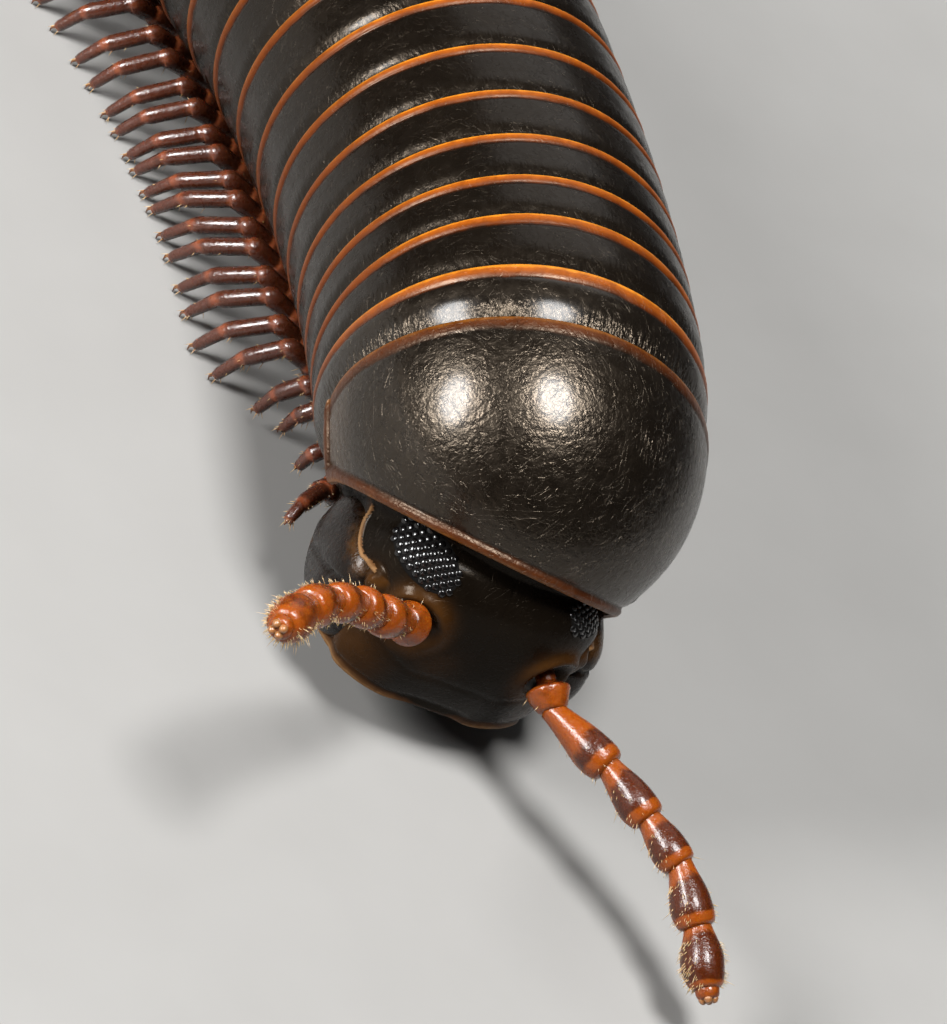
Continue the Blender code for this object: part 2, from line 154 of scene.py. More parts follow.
def circle(count, shift=0.0):
    """Angles of evenly spread places round a circle, moved on by a share of a place."""
    return 2 * math.pi * (np.arange(count) + shift) / count


def spokes_at(turn, first, second):
    """Directions at angles from a first direction towards a second: cos * first + sin * second."""
    return np.cos(turn)[:, None] * first[..., None, :] + np.sin(turn)[:, None] * second[..., None, :]


def unit(ways):
    """The same directions with length 1."""
    ways = np.asarray(ways, dtype=float)
    return ways / np.linalg.norm(ways, axis=-1, keepdims=True)


RING_ENDS = np.concatenate([[0.0], np.cumsum(ring_pitch(np.arange(FIRST_RING, LAST_RING + 1)))])
ALONG = np.arange(-0.5, RING_ENDS[-1] + 6.0, LINE_STEP)
sway = SWAY * np.sin(2 * math.pi * ALONG / SWAY_LENGTH + SWAY_START)
rise = math.radians(1.7) * np.sin(math.pi * np.clip(ALONG / 15, 0, 1)) ** 2
slope = HEAD_DIP * (1 - smooth(ALONG / NECK_LENGTH)) - rise
BACK = np.stack([-np.sin(sway) * np.cos(slope), np.cos(sway) * np.cos(slope), np.sin(slope)], axis=1)
LINE = np.concatenate([np.zeros((1, 3)), np.cumsum((BACK[1:] + BACK[:-1]) / 2 * LINE_STEP, axis=0)])
hem_row = np.searchsorted(ALONG, -1e-6)
end_row = np.searchsorted(ALONG, RING_ENDS[-1])
LINE[:, :2] += np.array(HEM_PLACE) - LINE[hem_row, :2]
LINE[:, 2] += TAIL_HEIGHT - LINE[end_row, 2]


def station(along):
    """Centre, back, left and up at lengths behind the shield's hem, with left level."""
    along = np.atleast_1d(along)
    centre, back = (
        np.stack([np.interp(along, ALONG, column) for column in curve.T], axis=-1) for curve in (LINE, BACK))
    back = unit(back)
    left = unit(np.cross((0.0, 0.0, 1.0), -back))
    return centre, back, left, np.cross(-back, left)


HEAD_ORIGIN, head_back, head_left, _ = (array[0] for array in station(0.0))
HEAD_AXES = np.array([unit(-head_back * (1, 1, 0)), head_left, (0.0, 0.0, 1.0)])


def on_head(places):
    """World places of points given forward, to the left and up from the centre of the shield's hem."""
    return HEAD_ORIGIN + np.asarray(places) @ HEAD_AXES


print("body", round(RING_ENDS[-1], 1), "mm long, head at", np.round(HEAD_ORIGIN, 2))

# %% [markdown]
# ## Grids into meshes
# Each surface is a grid of points, rows along it and columns round it, so its faces are worked out
# with the same few sums of row and column numbers. A closed grid has a well defined volume, and its
# sign says whether the faces point outwards. A mark is a number for each point that a material reads.

# %% Grids into meshes
def grid_quads(rows, sides, wrap_rows=False, wrap_sides=True):
    """Corner numbers of a grid's quads, where the point (row, side) has the number row * sides + side."""
    row = np.arange(rows if wrap_rows else rows - 1)[:, None]
    side = np.arange(sides if wrap_sides else sides - 1)[None, :]
    next_row = (row + 1) % rows
    next_side = (side + 1) % sides
    near, far = row * sides, next_row * sides
    corners = np.broadcast_arrays(near + side, near + next_side, far + next_side, far + side)
    return np.stack(corners, axis=-1).reshape(-1, 4)


def closed_tubes(grids):
    """Tubes from an array (tube, row, side, xyz), each closed by a pole in the middle of either end."""
    tubes, rows, sides, _ = grids.shape
    poles = np.stack([grids[:, 0].mean(axis=1), grids[:, -1].mean(axis=1)], axis=1)
    points = np.concatenate([grids.reshape(tubes, -1, 3), poles], axis=1)
    shift = (np.arange(tubes) * points.shape[1])[:, None, None]
    side = np.arange(sides)
    after = (side + 1) % sides
    last = (rows - 1) * sides
    near = np.stack([np.full(sides, rows * sides), after, side], axis=-1)
    far = np.stack([np.full(sides, rows * sides + 1), last + side, last + after], axis=-1)
    quads = grid_quads(rows, sides)[None] + shift
    fans = np.concatenate([near, far])[None] + shift
    return points.reshape(-1, 3), [quads.reshape(-1, 4), fans.reshape(-1, 3)]


def tube_marks(values):
    """Marks for closed_tubes from an array (tube, row, side): a pole has the mean of its row."""
    poles = np.stack([values[:, 0].mean(axis=1), values[:, -1].mean(axis=1)], axis=1)
    return np.concatenate([values.reshape(len(values), -1), poles], axis=1).ravel()


def closed_sheet(outer, inner, wrap=False):
    """A plate with a wall: an outer and an inner grid, and strips that close their borders."""
    rows, sides, _ = outer.shape
    count = rows * sides
    faces = [grid_quads(rows, sides, wrap_sides=wrap)]
    faces.append(faces[0][:, ::-1] + count)
    numbers = np.arange(count).reshape(rows, sides)
    borders = [(numbers[0], True), (numbers[-1], False)]
    if not wrap:
        borders += [(numbers[:, 0], False), (numbers[:, -1], True)]
    for line, turned in borders:
        after = np.roll(line, -1) if wrap else line[1:]
        line = line if wrap else line[:-1]
        strip = np.stack([line, line + count, after + count, after], axis=-1)
        faces.append(strip[:, ::-1] if turned else strip)
    return np.concatenate([outer.reshape(-1, 3), inner.reshape(-1, 3)]), faces


def volume(points, faces):
    """Volume inside the faces: a sixth of a . (b x c) for each triangle of corners a, b, c."""
    total = 0.0
    for group in faces:
        for k in range(1, group.shape[1] - 1):
            a, b, c = points[group[:, 0]], points[group[:, k]], points[group[:, k + 1]]
            total += np.einsum("ij,ij->", a, np.cross(b, c)) / 6
    return total


def make_piece(name, points, faces, finish, marks=None, stands_for=()):
    """A piece from points in millimetres and arrays of corner numbers, its faces turned outwards."""
    if volume(points - points.mean(axis=0), faces) < 0:
        faces = [group[:, ::-1] for group in faces]
    mesh = bpy.data.meshes.new(name)
    corners = np.concatenate([group.ravel() for group in faces]).astype(np.int32)
    sizes = np.concatenate([np.full(len(group), group.shape[1]) for group in faces])
    mesh.vertices.add(len(points))
    mesh.vertices.foreach_set("co", np.ascontiguousarray(points * MM, dtype=np.float32).ravel())
    mesh.loops.add(len(corners))
    mesh.loops.foreach_set("vertex_index", corners)
    mesh.polygons.add(len(sizes))
    mesh.polygons.foreach_set("loop_start", np.concatenate([[0], np.cumsum(sizes)[:-1]]).astype(np.int32))
    mesh.polygons.foreach_set("use_smooth", np.ones(len(sizes), dtype=bool))
    for mark, values in (marks or {}).items():
        kind, field = ("FLOAT", "value") if values.ndim == 1 else ("FLOAT_VECTOR", "vector")
        layer = mesh.attributes.new(mark, kind, "POINT")
        layer.data.foreach_set(field, np.ascontiguousarray(values, dtype=np.float32).ravel())
    mesh.update(calc_edges=True)
    mesh.validate()
    mesh.materials.append(finish)
    piece = new_object(name, mesh)
    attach(piece, "root")
    if stands_for:
        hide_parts(*stands_for)
    return piece


def make_tubes(name, grids, finish, values=None, stands_for=(), place=None):
    """A piece from closed tubes, with marks from values on their grids, put in place by a function."""
    points, faces = closed_tubes(grids)
    marks = {key: tube_marks(value) for key, value in (values or {}).items()}
    return make_piece(name, place(points) if place else points, faces, finish, marks, stands_for)


# %% [markdown]
# ## Finishes
# The shell is a hard, polished skin. It is almost black, its thin edges let light through and look
# orange, and it is scratched and very finely wrinkled. Those are too small to model, so the material
# makes them as bump, from noise in object coordinates, and reads from the marks where the edges are.

# %% Words for building a finish
def add(tree, kind, inputs=(), **settings):
    """Adds a node. Each input gets a number or a colour of three numbers, or a link to an output."""
    node = tree.nodes.new(kind)
    for key, value in settings.items():
        setattr(node, key, value)
    for place, value in dict(inputs).items():
        if isinstance(value, bpy.types.NodeSocket):
            tree.links.new(value, node.inputs[place])
        else:
            socket = node.inputs[place]
            socket.default_value = (*value, 1) if socket.type == "RGBA" else value
    return node


def calc(tree, operation, *values):
    """One sum on numbers or outputs."""
    return add(tree, "ShaderNodeMath", enumerate(values), operation=operation).outputs[0]


def fade(tree, value, start, stop, low=0.0, high=1.0):
    """Goes smoothly from low to high as the value goes from start to stop."""
    inputs = {"Value": value, "From Min": start, "From Max": stop, "To Min": low, "To Max": high}
    return add(tree, "ShaderNodeMapRange", inputs, interpolation_type="SMOOTHSTEP").outputs[0]


def mingle(tree, share, first, second):
    """A colour between two, by a share."""
    inputs = {0: share, 6: first, 7: second}
    return add(tree, "ShaderNodeMix", inputs, data_type="RGBA").outputs[2]


def clouds(tree, place, scale, detail=2.0):
    """Soft noise between 0 and 1, with scale spots to a unit."""
    return add(tree, "ShaderNodeTexNoise", {"Vector": place, "Scale": scale, "Detail": detail}).outputs[0]


def millimetres(tree):
    """Object coordinates in millimetres."""
    place = add(tree, "ShaderNodeTexCoord").outputs["Object"]
    return add(tree, "ShaderNodeVectorMath", {0: place, "Scale": 1000.0}, operation="SCALE").outputs[0]


def mark(tree, name, output="Fac"):
    """A mark of the mesh."""
    return add(tree, "ShaderNodeAttribute", attribute_name=name).outputs[output]


def bump(tree, height, depth, under=None):
    """Bumps with a depth in metres, over the bumps made before."""
    inputs = {"Height": height, "Distance": depth, "Strength": 1.0}
    if under is not None:
        inputs["Normal"] = under
    return add(tree, "ShaderNodeBump", inputs).outputs[0]


SHIELD_ACROSS = np.array((-0.346, 0.938, 0.0))
SHIELD_DOWN = np.array((-0.64, -0.236, -0.73))
SCRATCH_ANGLES = (0.2, 0.75, 1.5, 2.3, 2.8)


def scratches(tree, place, angle):
    """Thin lines where a noise stretched along one way crosses its middle value, kept only in patches.

    The way is u cos(angle) + v sin(angle), with u and v two directions along the top of the shield.
    """
    x, y, z = SHIELD_ACROSS * math.cos(angle) + SHIELD_DOWN * math.sin(angle)
    turn = (angle, -math.asin(z), math.atan2(y, x))
    inputs = {"Vector": place, "Rotation": turn, "Location": (3 * angle, 0, 0), "Scale": (2.4, 0.24, 0.24)}
    stretched = add(tree, "ShaderNodeMapping", inputs, vector_type="TEXTURE").outputs[0]
    middle = calc(tree, "SUBTRACT", clouds(tree, stretched, 1.0, 1.0), 0.5)
    line = fade(tree, calc(tree, "ABSOLUTE", middle), 0.014, 0.003)
    patch = fade(tree, clouds(tree, place, 1.3 + 0.2 * angle, 1.0), 0.50, 0.58)
    return calc(tree, "MULTIPLY", line, patch)


def new_finish(name, **values):
    """A finish with values on its shader's inputs: the material, its tree and its shader."""
    made = bpy.data.materials.new(name)
    made.use_nodes = True
    shader = made.node_tree.nodes["Principled BSDF"]
    for key, value in values.items():
        shader.inputs[key.replace("_", " ")].default_value = value
    return made, made.node_tree, shader


def cloudy_finish(name, scale, detail, first, second, **values):
    """A finish whose colour drifts between two with soft noise."""
    made, tree, shader = new_finish(name, **values)
    colour = mingle(tree, clouds(tree, millimetres(tree), scale, detail), first, second)
    tree.links.new(colour, shader.inputs["Base Color"])
    return made


# %% [markdown]
# ### Black shell
# One recipe serves the rings, the shield, the head and the tail. The mark "hem" is the distance in
# millimetres from a thin edge, "warm" says where the shell is thinner and brown shows through, and
# "place" carries the ring's own coordinates for the fine lengthwise wrinkles at its front.

# %% Black shell
SHELL_DARK = (0.0018, 0.0012, 0.0008)
SHELL_LIGHT = (0.0050, 0.0034, 0.0021)
WARM_TINT = (1.0, 0.80, 0.60, 1.0)


def black_shell(name, hem_width, colours, warm_colour, mirror, scratched, leather=8.5e-6, wrinkles=0.0,
                side_shade=0.0):
    """Polished black shell. Its hem goes through three colours from the thin edge forward, then to black.

    Mirror is how strongly it reflects, leather and wrinkles are depths of bumps in metres, and side_shade
    is how much painted shade darkens the hem down the sides, where less light falls.
    """
    made, tree, shader = new_finish(name, Specular_IOR_Level=mirror, Specular_Tint=WARM_TINT)
    place = millimetres(tree)
    waver = fade(tree, clouds(tree, place, 1.7), 0.3, 0.7, -0.02, 0.02)
    from_edge = calc(tree, "ADD", mark(tree, "hem"), waver)
    body = mingle(tree, clouds(tree, place, 0.45), SHELL_DARK, SHELL_LIGHT)
    patches = fade(tree, clouds(tree, place, 1.1, 3.0), 0.2, 0.75, 0.6, 1.0)
    body = mingle(tree, calc(tree, "MULTIPLY", mark(tree, "warm"), patches), body, warm_colour)
    edge, middle, front = colours
    band = mingle(tree, fade(tree, from_edge, 0.03, hem_width * 0.45), edge, middle)
    band = mingle(tree, fade(tree, from_edge, hem_width * 0.45, hem_width * 0.95), band, front)
    band = mingle(tree, fade(tree, clouds(tree, place, 5.0, 3.0), 0.4, 0.75, 0.0, 0.35), band, front)
    # Painted shade: the hem fades to its dark front colour lower down the sides, where less light falls.
    if side_shade:
        turned = add(tree, "ShaderNodeSeparateXYZ", {0: mark(tree, "place", "Vector")}).outputs[1]
        band = mingle(tree, fade(tree, turned, 3.6, 0.8, 0.0, side_shade), band, front)
    share = fade(tree, from_edge, hem_width * 0.85, hem_width * 1.15)
    tree.links.new(mingle(tree, share, band, body), shader.inputs["Base Color"])
    dull = fade(tree, clouds(tree, place, 3.0, 4.0), 0.3, 0.75, 0.23, 0.35)
    dull = calc(tree, "ADD", dull, fade(tree, share, 0.0, 1.0, 0.10, 0.0))
    tree.links.new(dull, shader.inputs["Roughness"])
    fine = calc(tree, "MULTIPLY", clouds(tree, place, 19.0, 2.0), 0.35)
    normal = bump(tree, calc(tree, "ADD", clouds(tree, place, 7.0, 3.0), fine), leather)
    lines = None
    for angle in SCRATCH_ANGLES:
        drawn = scratches(tree, place, angle)
        lines = drawn if lines is None else calc(tree, "MAXIMUM", lines, drawn)
    normal = bump(tree, calc(tree, "MULTIPLY", lines, -scratched), 8.0e-6, normal)
    if wrinkles:
        along = mark(tree, "place", "Vector")
        stretched = add(tree, "ShaderNodeMapping", {"Vector": along, "Scale": (8.0, 8.0, 2.2)}).outputs[0]
        behind = add(tree, "ShaderNodeSeparateXYZ", {0: along}).outputs[2]
        strip = fade(tree, behind, 0.75, 0.35)
        folds = calc(tree, "MULTIPLY", clouds(tree, stretched, 1.0, 3.0), strip)
        normal = bump(tree, folds, wrinkles, normal)
    tree.links.new(normal, shader.inputs["Normal"])
    tree.links.new(fade(tree, share, 0.0, 1.0, 0.0, 0.6 * mirror), shader.inputs["Coat Weight"])
    shader.inputs["Coat Roughness"].default_value = 0.17
    return made


GOLDEN_HEM = ((0.50, 0.17, 0.010), (0.22, 0.050, 0.003), (0.075, 0.014, 0.001))
BROWN_HEM = ((0.13, 0.041, 0.003), (0.050, 0.0105, 0.0006), (0.020, 0.0044, 0.0006))
PALE_RIM = ((0.16, 0.085, 0.036), (0.075, 0.034, 0.013), (0.024, 0.010, 0.004))
RING_WARMTH = (0.03, 0.012, 0.005)
SHIELD_WARMTH = (0.042, 0.019, 0.0045)
HEAD_WARMTH = (0.040, 0.0155, 0.0035)
RING_FINISH = black_shell(
    "ring_shell", 0.29, GOLDEN_HEM, RING_WARMTH, mirror=0.25, scratched=0.4, wrinkles=2.5e-5, side_shade=0.6)
COLLAR_FINISH = black_shell(
    "collar_shell", 0.29, GOLDEN_HEM, RING_WARMTH, mirror=0.46, scratched=0.5, wrinkles=1.0e-4, side_shade=0.3)
SHIELD_FINISH = black_shell(
    "shield_shell", 0.25, BROWN_HEM, SHIELD_WARMTH, mirror=0.44, scratched=1.2, leather=2.3e-5)
HEAD_FINISH = black_shell("head_shell", 0.14, PALE_RIM, HEAD_WARMTH, mirror=0.07, scratched=0.4)
print("black finishes:", [made.name for made in (RING_FINISH, COLLAR_FINISH, SHIELD_FINISH, HEAD_FINISH)])

# %% [markdown]
# ### Brown and amber shell
# Legs, feelers and mouth plates have a thinner shell, so light enters it and comes out reddish, which
# subsurface scattering gives. The mark "dark" says where it is darker: pigment, and painted shade on the jaw
# plates.

# %% Brown and amber shell
def thin_shell(name, pale, dark, glow, polish=0.4):
    """Glossy thin shell between a pale and a dark colour by the mark "dark", with some scattering."""
    made, tree, shader = new_finish(
        name, Subsurface_Weight=glow, Subsurface_Radius=(1.0, 0.32, 0.1), Subsurface_Scale=0.35 * MM,
        Specular_IOR_Level=polish + 0.1, Coat_Weight=polish, Coat_Roughness=0.14,
    )
    place = millimetres(tree)
    waver = fade(tree, clouds(tree, place, 3.5, 3.0), 0.25, 0.75, -0.22, 0.22)
    share = fade(tree, calc(tree, "ADD", mark(tree, "dark"), waver), 0.15, 0.85)
    tree.links.new(mingle(tree, share, pale, dark), shader.inputs["Base Color"])
    dull = fade(tree, clouds(tree, place, 6.0, 2.0), 0.3, 0.7, 0.22, 0.36)
    tree.links.new(dull, shader.inputs["Roughness"])
    grains = calc(tree, "MULTIPLY", clouds(tree, place, 24.0, 1.0), 0.55)
    dents = calc(tree, "ADD", clouds(tree, place, 9.0, 2.0), grains)
    tree.links.new(bump(tree, dents, 1.7e-5), shader.inputs["Normal"])
    return made


FEELER_FINISH = thin_shell("feeler_shell", (0.200, 0.041, 0.0022), (0.050, 0.0088, 0.0012), 0.3, polish=0.22)
LEG_FINISH = thin_shell("leg_shell", (0.165, 0.040, 0.013), (0.055, 0.013, 0.005), 0.2)
# The mouth shell's near-black colours are partly painted shade: the jaw plates and chin lie in shade under
# the head.
SHADED_MOUTH_FINISH = thin_shell("mouth_shell_shaded", (0.034, 0.0150, 0.0045), (0.0045, 0.0020, 0.0009), 0.1, polish=0.08)
CLAW_FINISH = thin_shell("claw_horn", (0.24, 0.10, 0.032), (0.10, 0.034, 0.012), 0.1)
BRISTLE_FINISH = thin_shell("bristle_horn", (0.62, 0.40, 0.20), (0.30, 0.13, 0.05), 0.2)

# %% Bead eyes and floor
EYE_FINISH = cloudy_finish(
    "bead_eye", 4.0, 2.0, (0.0015, 0.0015, 0.0018), (0.0035, 0.0028, 0.0024), Roughness=0.20, IOR=1.5)
FIELD_FINISH = cloudy_finish(
    "eye_field", 3.0, 2.0, (0.0012, 0.0011, 0.0010), (0.003, 0.0024, 0.0020), Roughness=0.8,
    Specular_IOR_Level=0.1)
FLOOR_FINISH = cloudy_finish(
    "floor_paper", 0.25, 4.0, (0.225, 0.220, 0.211), (0.250, 0.245, 0.236), Roughness=0.8)
print("other finishes:", [made.name for made in (FEELER_FINISH, LEG_FINISH, EYE_FINISH, FLOOR_FINISH)])

# %% [markdown]
# ## Ring plates
# Each ring is a short tube. Its front slips under the hem of the ring before it and rises like a
# shoulder, its middle swells a little, and its rear ends in a narrow raised hem. It could be turned
# on a lathe and bent, but the body curves, so a profile is carried along the line instead: every row
# of the profile has its own place on the line and its own radius.

# %% Profile of a ring plate
HEM_WIDTH = 0.29
SIDES_NEAR = 216
SIDES_FAR = 128
NEAR_RINGS = 14
COLLAR_SHOULDER = (0.27, 0.55)
RING_SHOULDER = (0.08, 0.24)


def plate_profile(length, middle_rows, shoulder_depth, shoulder_reach):
    """Places behind the hem before and heights over the body's radius, along the outside and back inside.

    The shoulder is a bell curve, -depth * exp(-(s / reach)^2), and the swelling half a wave of sine.
    """
    tucked = np.array([(-0.36, -0.50), (-0.40, -0.46), (-0.38, -0.41), (-0.26, -0.35), (-0.12, -0.285)])
    tucked[:, 1] += 0.19 - shoulder_depth
    open_s = np.linspace(0.0, length - HEM_WIDTH - 0.10, middle_rows)
    open_h = -shoulder_depth * bell(open_s, shoulder_reach) + 0.03 * np.sin(math.pi * open_s / length)
    hem = np.array([
        (-0.355, 0.006), (-0.32, -0.012), (-0.29, -0.014), (-0.265, 0.0), (-0.235, 0.020), (-0.18, 0.034),
        (-0.11, 0.038), (-0.06, 0.030), (-0.025, 0.014), (0.0, -0.010), (0.012, -0.04), (0.005, -0.075),
        (-0.03, -0.10), (-0.12, -0.115), (-0.30, -0.14), (-0.42, -0.20), (-0.47, -0.42), (-0.52, -0.60),
    ])
    hem[:, 0] += length
    inside = np.array([(length * 0.5, -0.62), (-0.22, -0.60)])
    return np.concatenate([tucked, np.stack([open_s, open_h], axis=1), hem, inside])


def belly(cosine):
    """Height of the body's outline: the cosine, held softly above -0.95 to give a flat belly."""
    return (cosine - 0.95 + np.sqrt((cosine + 0.95) ** 2 + 0.0008)) / 2


def ring_plate(ring):
    """Points, faces and marks of one ring plate."""
    start, end = RING_ENDS[ring - FIRST_RING], RING_ENDS[ring - FIRST_RING + 1]
    near = ring < FIRST_RING + NEAR_RINGS
    sides = SIDES_NEAR if near else SIDES_FAR
    depth, reach = COLLAR_SHOULDER if ring == FIRST_RING else RING_SHOULDER
    profile = plate_profile(end - start, 22 if near else 12, depth, reach)
    front, rear = ring_radius(ring - 1), ring_radius(ring)
    share = np.clip(profile[:, 0] / (end - start), 0, 1)
    radius = (front + (rear - front) * share + profile[:, 1])[:, None]
    centre, _, left, up = station(start + profile[:, 0])
    turn = circle(sides, 0.5)
    across = radius * np.sin(turn)
    height = radius * belly(np.cos(turn))
    points = centre[:, None] + across[..., None] * left[:, None] + height[..., None] * up[:, None]
    behind = np.broadcast_to(profile[:, :1], across.shape)
    before_hem = np.clip(end - start - behind, 0, None)
    marks = {
        "place": np.stack([across, height, behind], axis=-1).reshape(-1, 3),
        "hem": before_hem.ravel(),
        "warm": np.zeros(before_hem.size),
    }
    return points.reshape(-1, 3), [grid_quads(len(profile), sides, wrap_rows=True)], marks


# %% The ring plates
ring_faces = 0
for ring in range(FIRST_RING, LAST_RING + 1):
    points, faces, marks = ring_plate(ring)
    node = f"ring_{ring:02d}"
    finish = COLLAR_FINISH if ring == FIRST_RING else RING_FINISH
    make_piece(f"plate_{node}", points, faces, finish, marks, [node])
    ring_faces += len(faces[0])
print("ring plates:", LAST_RING - FIRST_RING + 1, "with", ring_faces, "faces")

# %% [markdown]
# ## Shield
# The first plate is a polished dome behind the head. Its rear hem is like a ring's, its front margin
# slants over the face, and on either side it hangs down as a slanting lobe with a blunt corner. All
# its free margin is a thick rounded bead. Columns run over the dome from the hem to one point below the
# face, and each is stopped where the margin cuts it, so the bead follows the margin exactly.

# %% Shape of the shield
DOME = np.array((5.15, 4.77, 4.77))
MARGIN_LEAN = math.radians(57)
MARGIN_WAY = unit((math.cos(MARGIN_LEAN), -math.sin(math.radians(5)), -math.sin(MARGIN_LEAN)))
MARGIN_REACH = 2.587
LOBE_DROP = 1.11
LOBE_TILT = 0.80
LOBE_TOOTH = (0.58, 3.03, 1.04)
LOBE_TUCK = 0.038
HEM_BACK = np.array((-math.cos(HEAD_DIP), 0.0, math.sin(HEAD_DIP)))
CORNER_ROUNDING = 0.12
FOLD_ENDS = np.array(((3.05, 3.70, -0.62), (3.62, 3.42, -0.62)))


def on_dome(ways):
    """Points of the dome in the given directions: each direction over its length in the dome's measure."""
    return ways / np.linalg.norm(ways / DOME, axis=-1, keepdims=True)


def past_margin(points):
    """How far points lie past the margin: the soft maximum of the slanting plane and the lobe's lower one.

    A bell curve of the height pushes the slanting plane forward at the lobe, so its corner stands out.
    """
    tooth, level_of_tooth, width = LOBE_TOOTH
    slant = points @ MARGIN_WAY - MARGIN_REACH - tooth * bell(points[..., 2] + level_of_tooth, width)
    below = -LOBE_DROP - LOBE_TILT * points[..., 0] - points[..., 2]
    root = np.sqrt((slant - below) ** 2 + CORNER_ROUNDING**2)
    share = (1 + (slant - below) / root) / 2
    slope_way = share[..., None] * MARGIN_WAY + (1 - share[..., None]) * np.array((-LOBE_TILT, 0.0, -1.0))
    return (slant + below + root) / 2, slope_way, slant, below


def shield_column(share, turn):
    """Points at a share of the great circle from the hem, at an angle from its top, to below the face."""
    top = np.array((math.sin(HEAD_DIP), 0.0, math.cos(HEAD_DIP)))
    start = np.cos(turn)[..., None] * top + np.sin(turn)[..., None] * np.array((0.0, 1.0, 0.0))
    angle = np.arccos(start @ MARGIN_WAY)
    parts = np.sin((1 - share) * angle)[..., None] * start + np.sin(share * angle)[..., None] * MARGIN_WAY
    return on_dome(parts / np.sin(angle)[..., None]), angle


HALVINGS = 40
MEAN_RADIUS = 4.9
MARGIN_BAND, HEM_BAND = 0.50, 0.44
turn = np.radians(np.linspace(-98.5, 98.5, 361))
low, high = np.zeros(turn.shape), np.ones(turn.shape)
for _ in range(HALVINGS):
    middle = (low + high) / 2
    outside = past_margin(shield_column(middle, turn)[0])[0] > 0
    high = np.where(outside, middle, high)
    low = np.where(outside, low, middle)
margin_share = low
column_length = margin_share * shield_column(margin_share, turn)[1] * MEAN_RADIUS
near_margin = np.array((
    0, 0.012, 0.03, 0.055, 0.09, 0.13, 0.17, 0.205, 0.24, 0.27, 0.30, 0.335, 0.375, 0.43, MARGIN_BAND))
near_hem = np.array((HEM_BAND, 0.39, 0.355, 0.325, 0.285, 0.24, 0.18, 0.11, 0.05, 0.0))
squeeze = np.minimum(1.0, column_length / 1.6)
first, last = near_margin[:, None] * squeeze, near_hem[:, None] * squeeze
steps = np.linspace(0, 1, 86)[1:-1, None]
between = MARGIN_BAND * squeeze + (column_length - (MARGIN_BAND + HEM_BAND) * squeeze) * steps
from_margin = np.concatenate([first, between, column_length - last])
shares = margin_share * (1 - from_margin / column_length)
dome, _ = shield_column(shares, np.broadcast_to(turn, shares.shape))
print("shield margin", round(float(column_length.max()), 2), "mm from the hem at most, grid", dome.shape[:2])

# %% [markdown]
# The bead, the hem and the shallow striae of the lobes are heights added along the dome's normal.
# Each is a curve of a true distance: the value of a plane's equation over its slope on the surface.

# %% Relief of the shield
normal = unit(dome / DOME**2)
value, way, slant, below = past_margin(dome)
slope_along = np.sqrt(np.clip((way**2).sum(axis=-1) - (normal * way).sum(axis=-1) ** 2, 0.05, None))
to_margin = -value / slope_along
to_hem = np.maximum(-(dome @ HEM_BACK), 0.0)
corner = np.exp(-((slant**2 + below**2) / 0.9))
bead_width = 0.25 + 0.08 * corner
relief = 0.075 * arch(to_margin / bead_width) - 0.05 * (1 - smooth(to_margin / 0.05))
relief -= 0.035 * bell(to_margin - bead_width - 0.05, 0.06)
relief += 0.018 * arch(to_hem / 0.38) - 0.06 * (1 - smooth(to_hem / 0.05))
relief -= 0.008 * bell(to_hem - 0.43, 0.06)
above_lobe = -below / math.hypot(1, LOBE_TILT)
window = smooth((dome[..., 0] - 0.2) / 0.5) * smooth((2.9 - dome[..., 0]) / 1.2)
for height, depth in ((0.55, 0.005), (1.05, 0.004)):
    bent = height + 0.10 * dome[..., 0]
    relief -= depth * bell(above_lobe - bent, 0.06) * window
for hand in (1, -1):
    near_end, far_end = FOLD_ENDS * (1, hand, 1)
    run = far_end - near_end
    part = np.clip(((dome - near_end) @ run) / (run @ run), 0, 1)
    off = np.linalg.norm(dome - near_end - part[..., None] * run, axis=-1)
    relief += 0.03 * bell(off, 0.05)

# %% The shield
wall = 0.12 + 0.22 * smooth(to_margin / 0.7) * smooth(to_hem / 0.7)
outer = dome + normal * relief[..., None]
inner = dome - normal * wall[..., None]
for sheet in (outer, inner):
    sheet[..., 1] *= 1 - LOBE_TUCK * smooth((0.8 - dome[..., 2]) / 2.5)
points, faces = closed_sheet(outer, inner)
to_edge = np.minimum(to_margin * 0.21 / bead_width, to_hem * 0.62)
lobe_glow = smooth((2.2 - above_lobe) / 2.2) * 0.75
marks = {"hem": np.tile(to_edge.ravel(), 2), "warm": np.tile(lobe_glow.ravel(), 2)}
make_piece("shield", on_head(points), faces, SHIELD_FINISH, marks, ["collum"])
print("shield faces:", sum(len(group) for group in faces))

# %% [markdown]
# ## Head
# The head capsule is a rounded box with a full face. It starts as a ball whose points are divided by
# a squarer kind of length, is stretched to the head's size, and drops at the face. Where it goes
# under the shield it is drawn onto the shield's inside, so that no slot opens between the two.

# %% Shape of the head
HEAD_CENTRE = np.array((2.2, -0.1, -2.35))
HEAD_HALF = np.array((3.25, 3.35, 2.75))
SQUARENESS = 2.6
LIP = np.array((4.7, -0.1, -4.9))
LIP_UP = np.array((math.sin(math.radians(6)), 0.0, math.cos(math.radians(6))))


def squared_ball(fall, round_, power=SQUARENESS):
    """A ball of fall and turn angles whose points are divided by (|x|^q + |y|^q + |z|^q)^(1/q)."""
    parts = (np.sin(fall) * np.cos(round_), np.sin(fall) * np.sin(round_), np.cos(fall))
    ball = np.stack(np.broadcast_arrays(*parts), axis=-1)
    return ball / (np.abs(ball) ** power).sum(axis=-1, keepdims=True) ** (1 / power)


def grid_normals(grid):
    """Normals of a grid from the cross product of its steps along rows and columns."""
    down = np.gradient(grid, axis=0)
    padded = np.concatenate([grid[:, -2:-1], grid, grid[:, 1:2]], axis=1)
    across = (padded[:, 2:] - padded[:, :-2]) / 2
    normals = np.cross(down, across)
    length = np.linalg.norm(normals, axis=-1, keepdims=True)
    return normals / np.maximum(length, 1e-12)


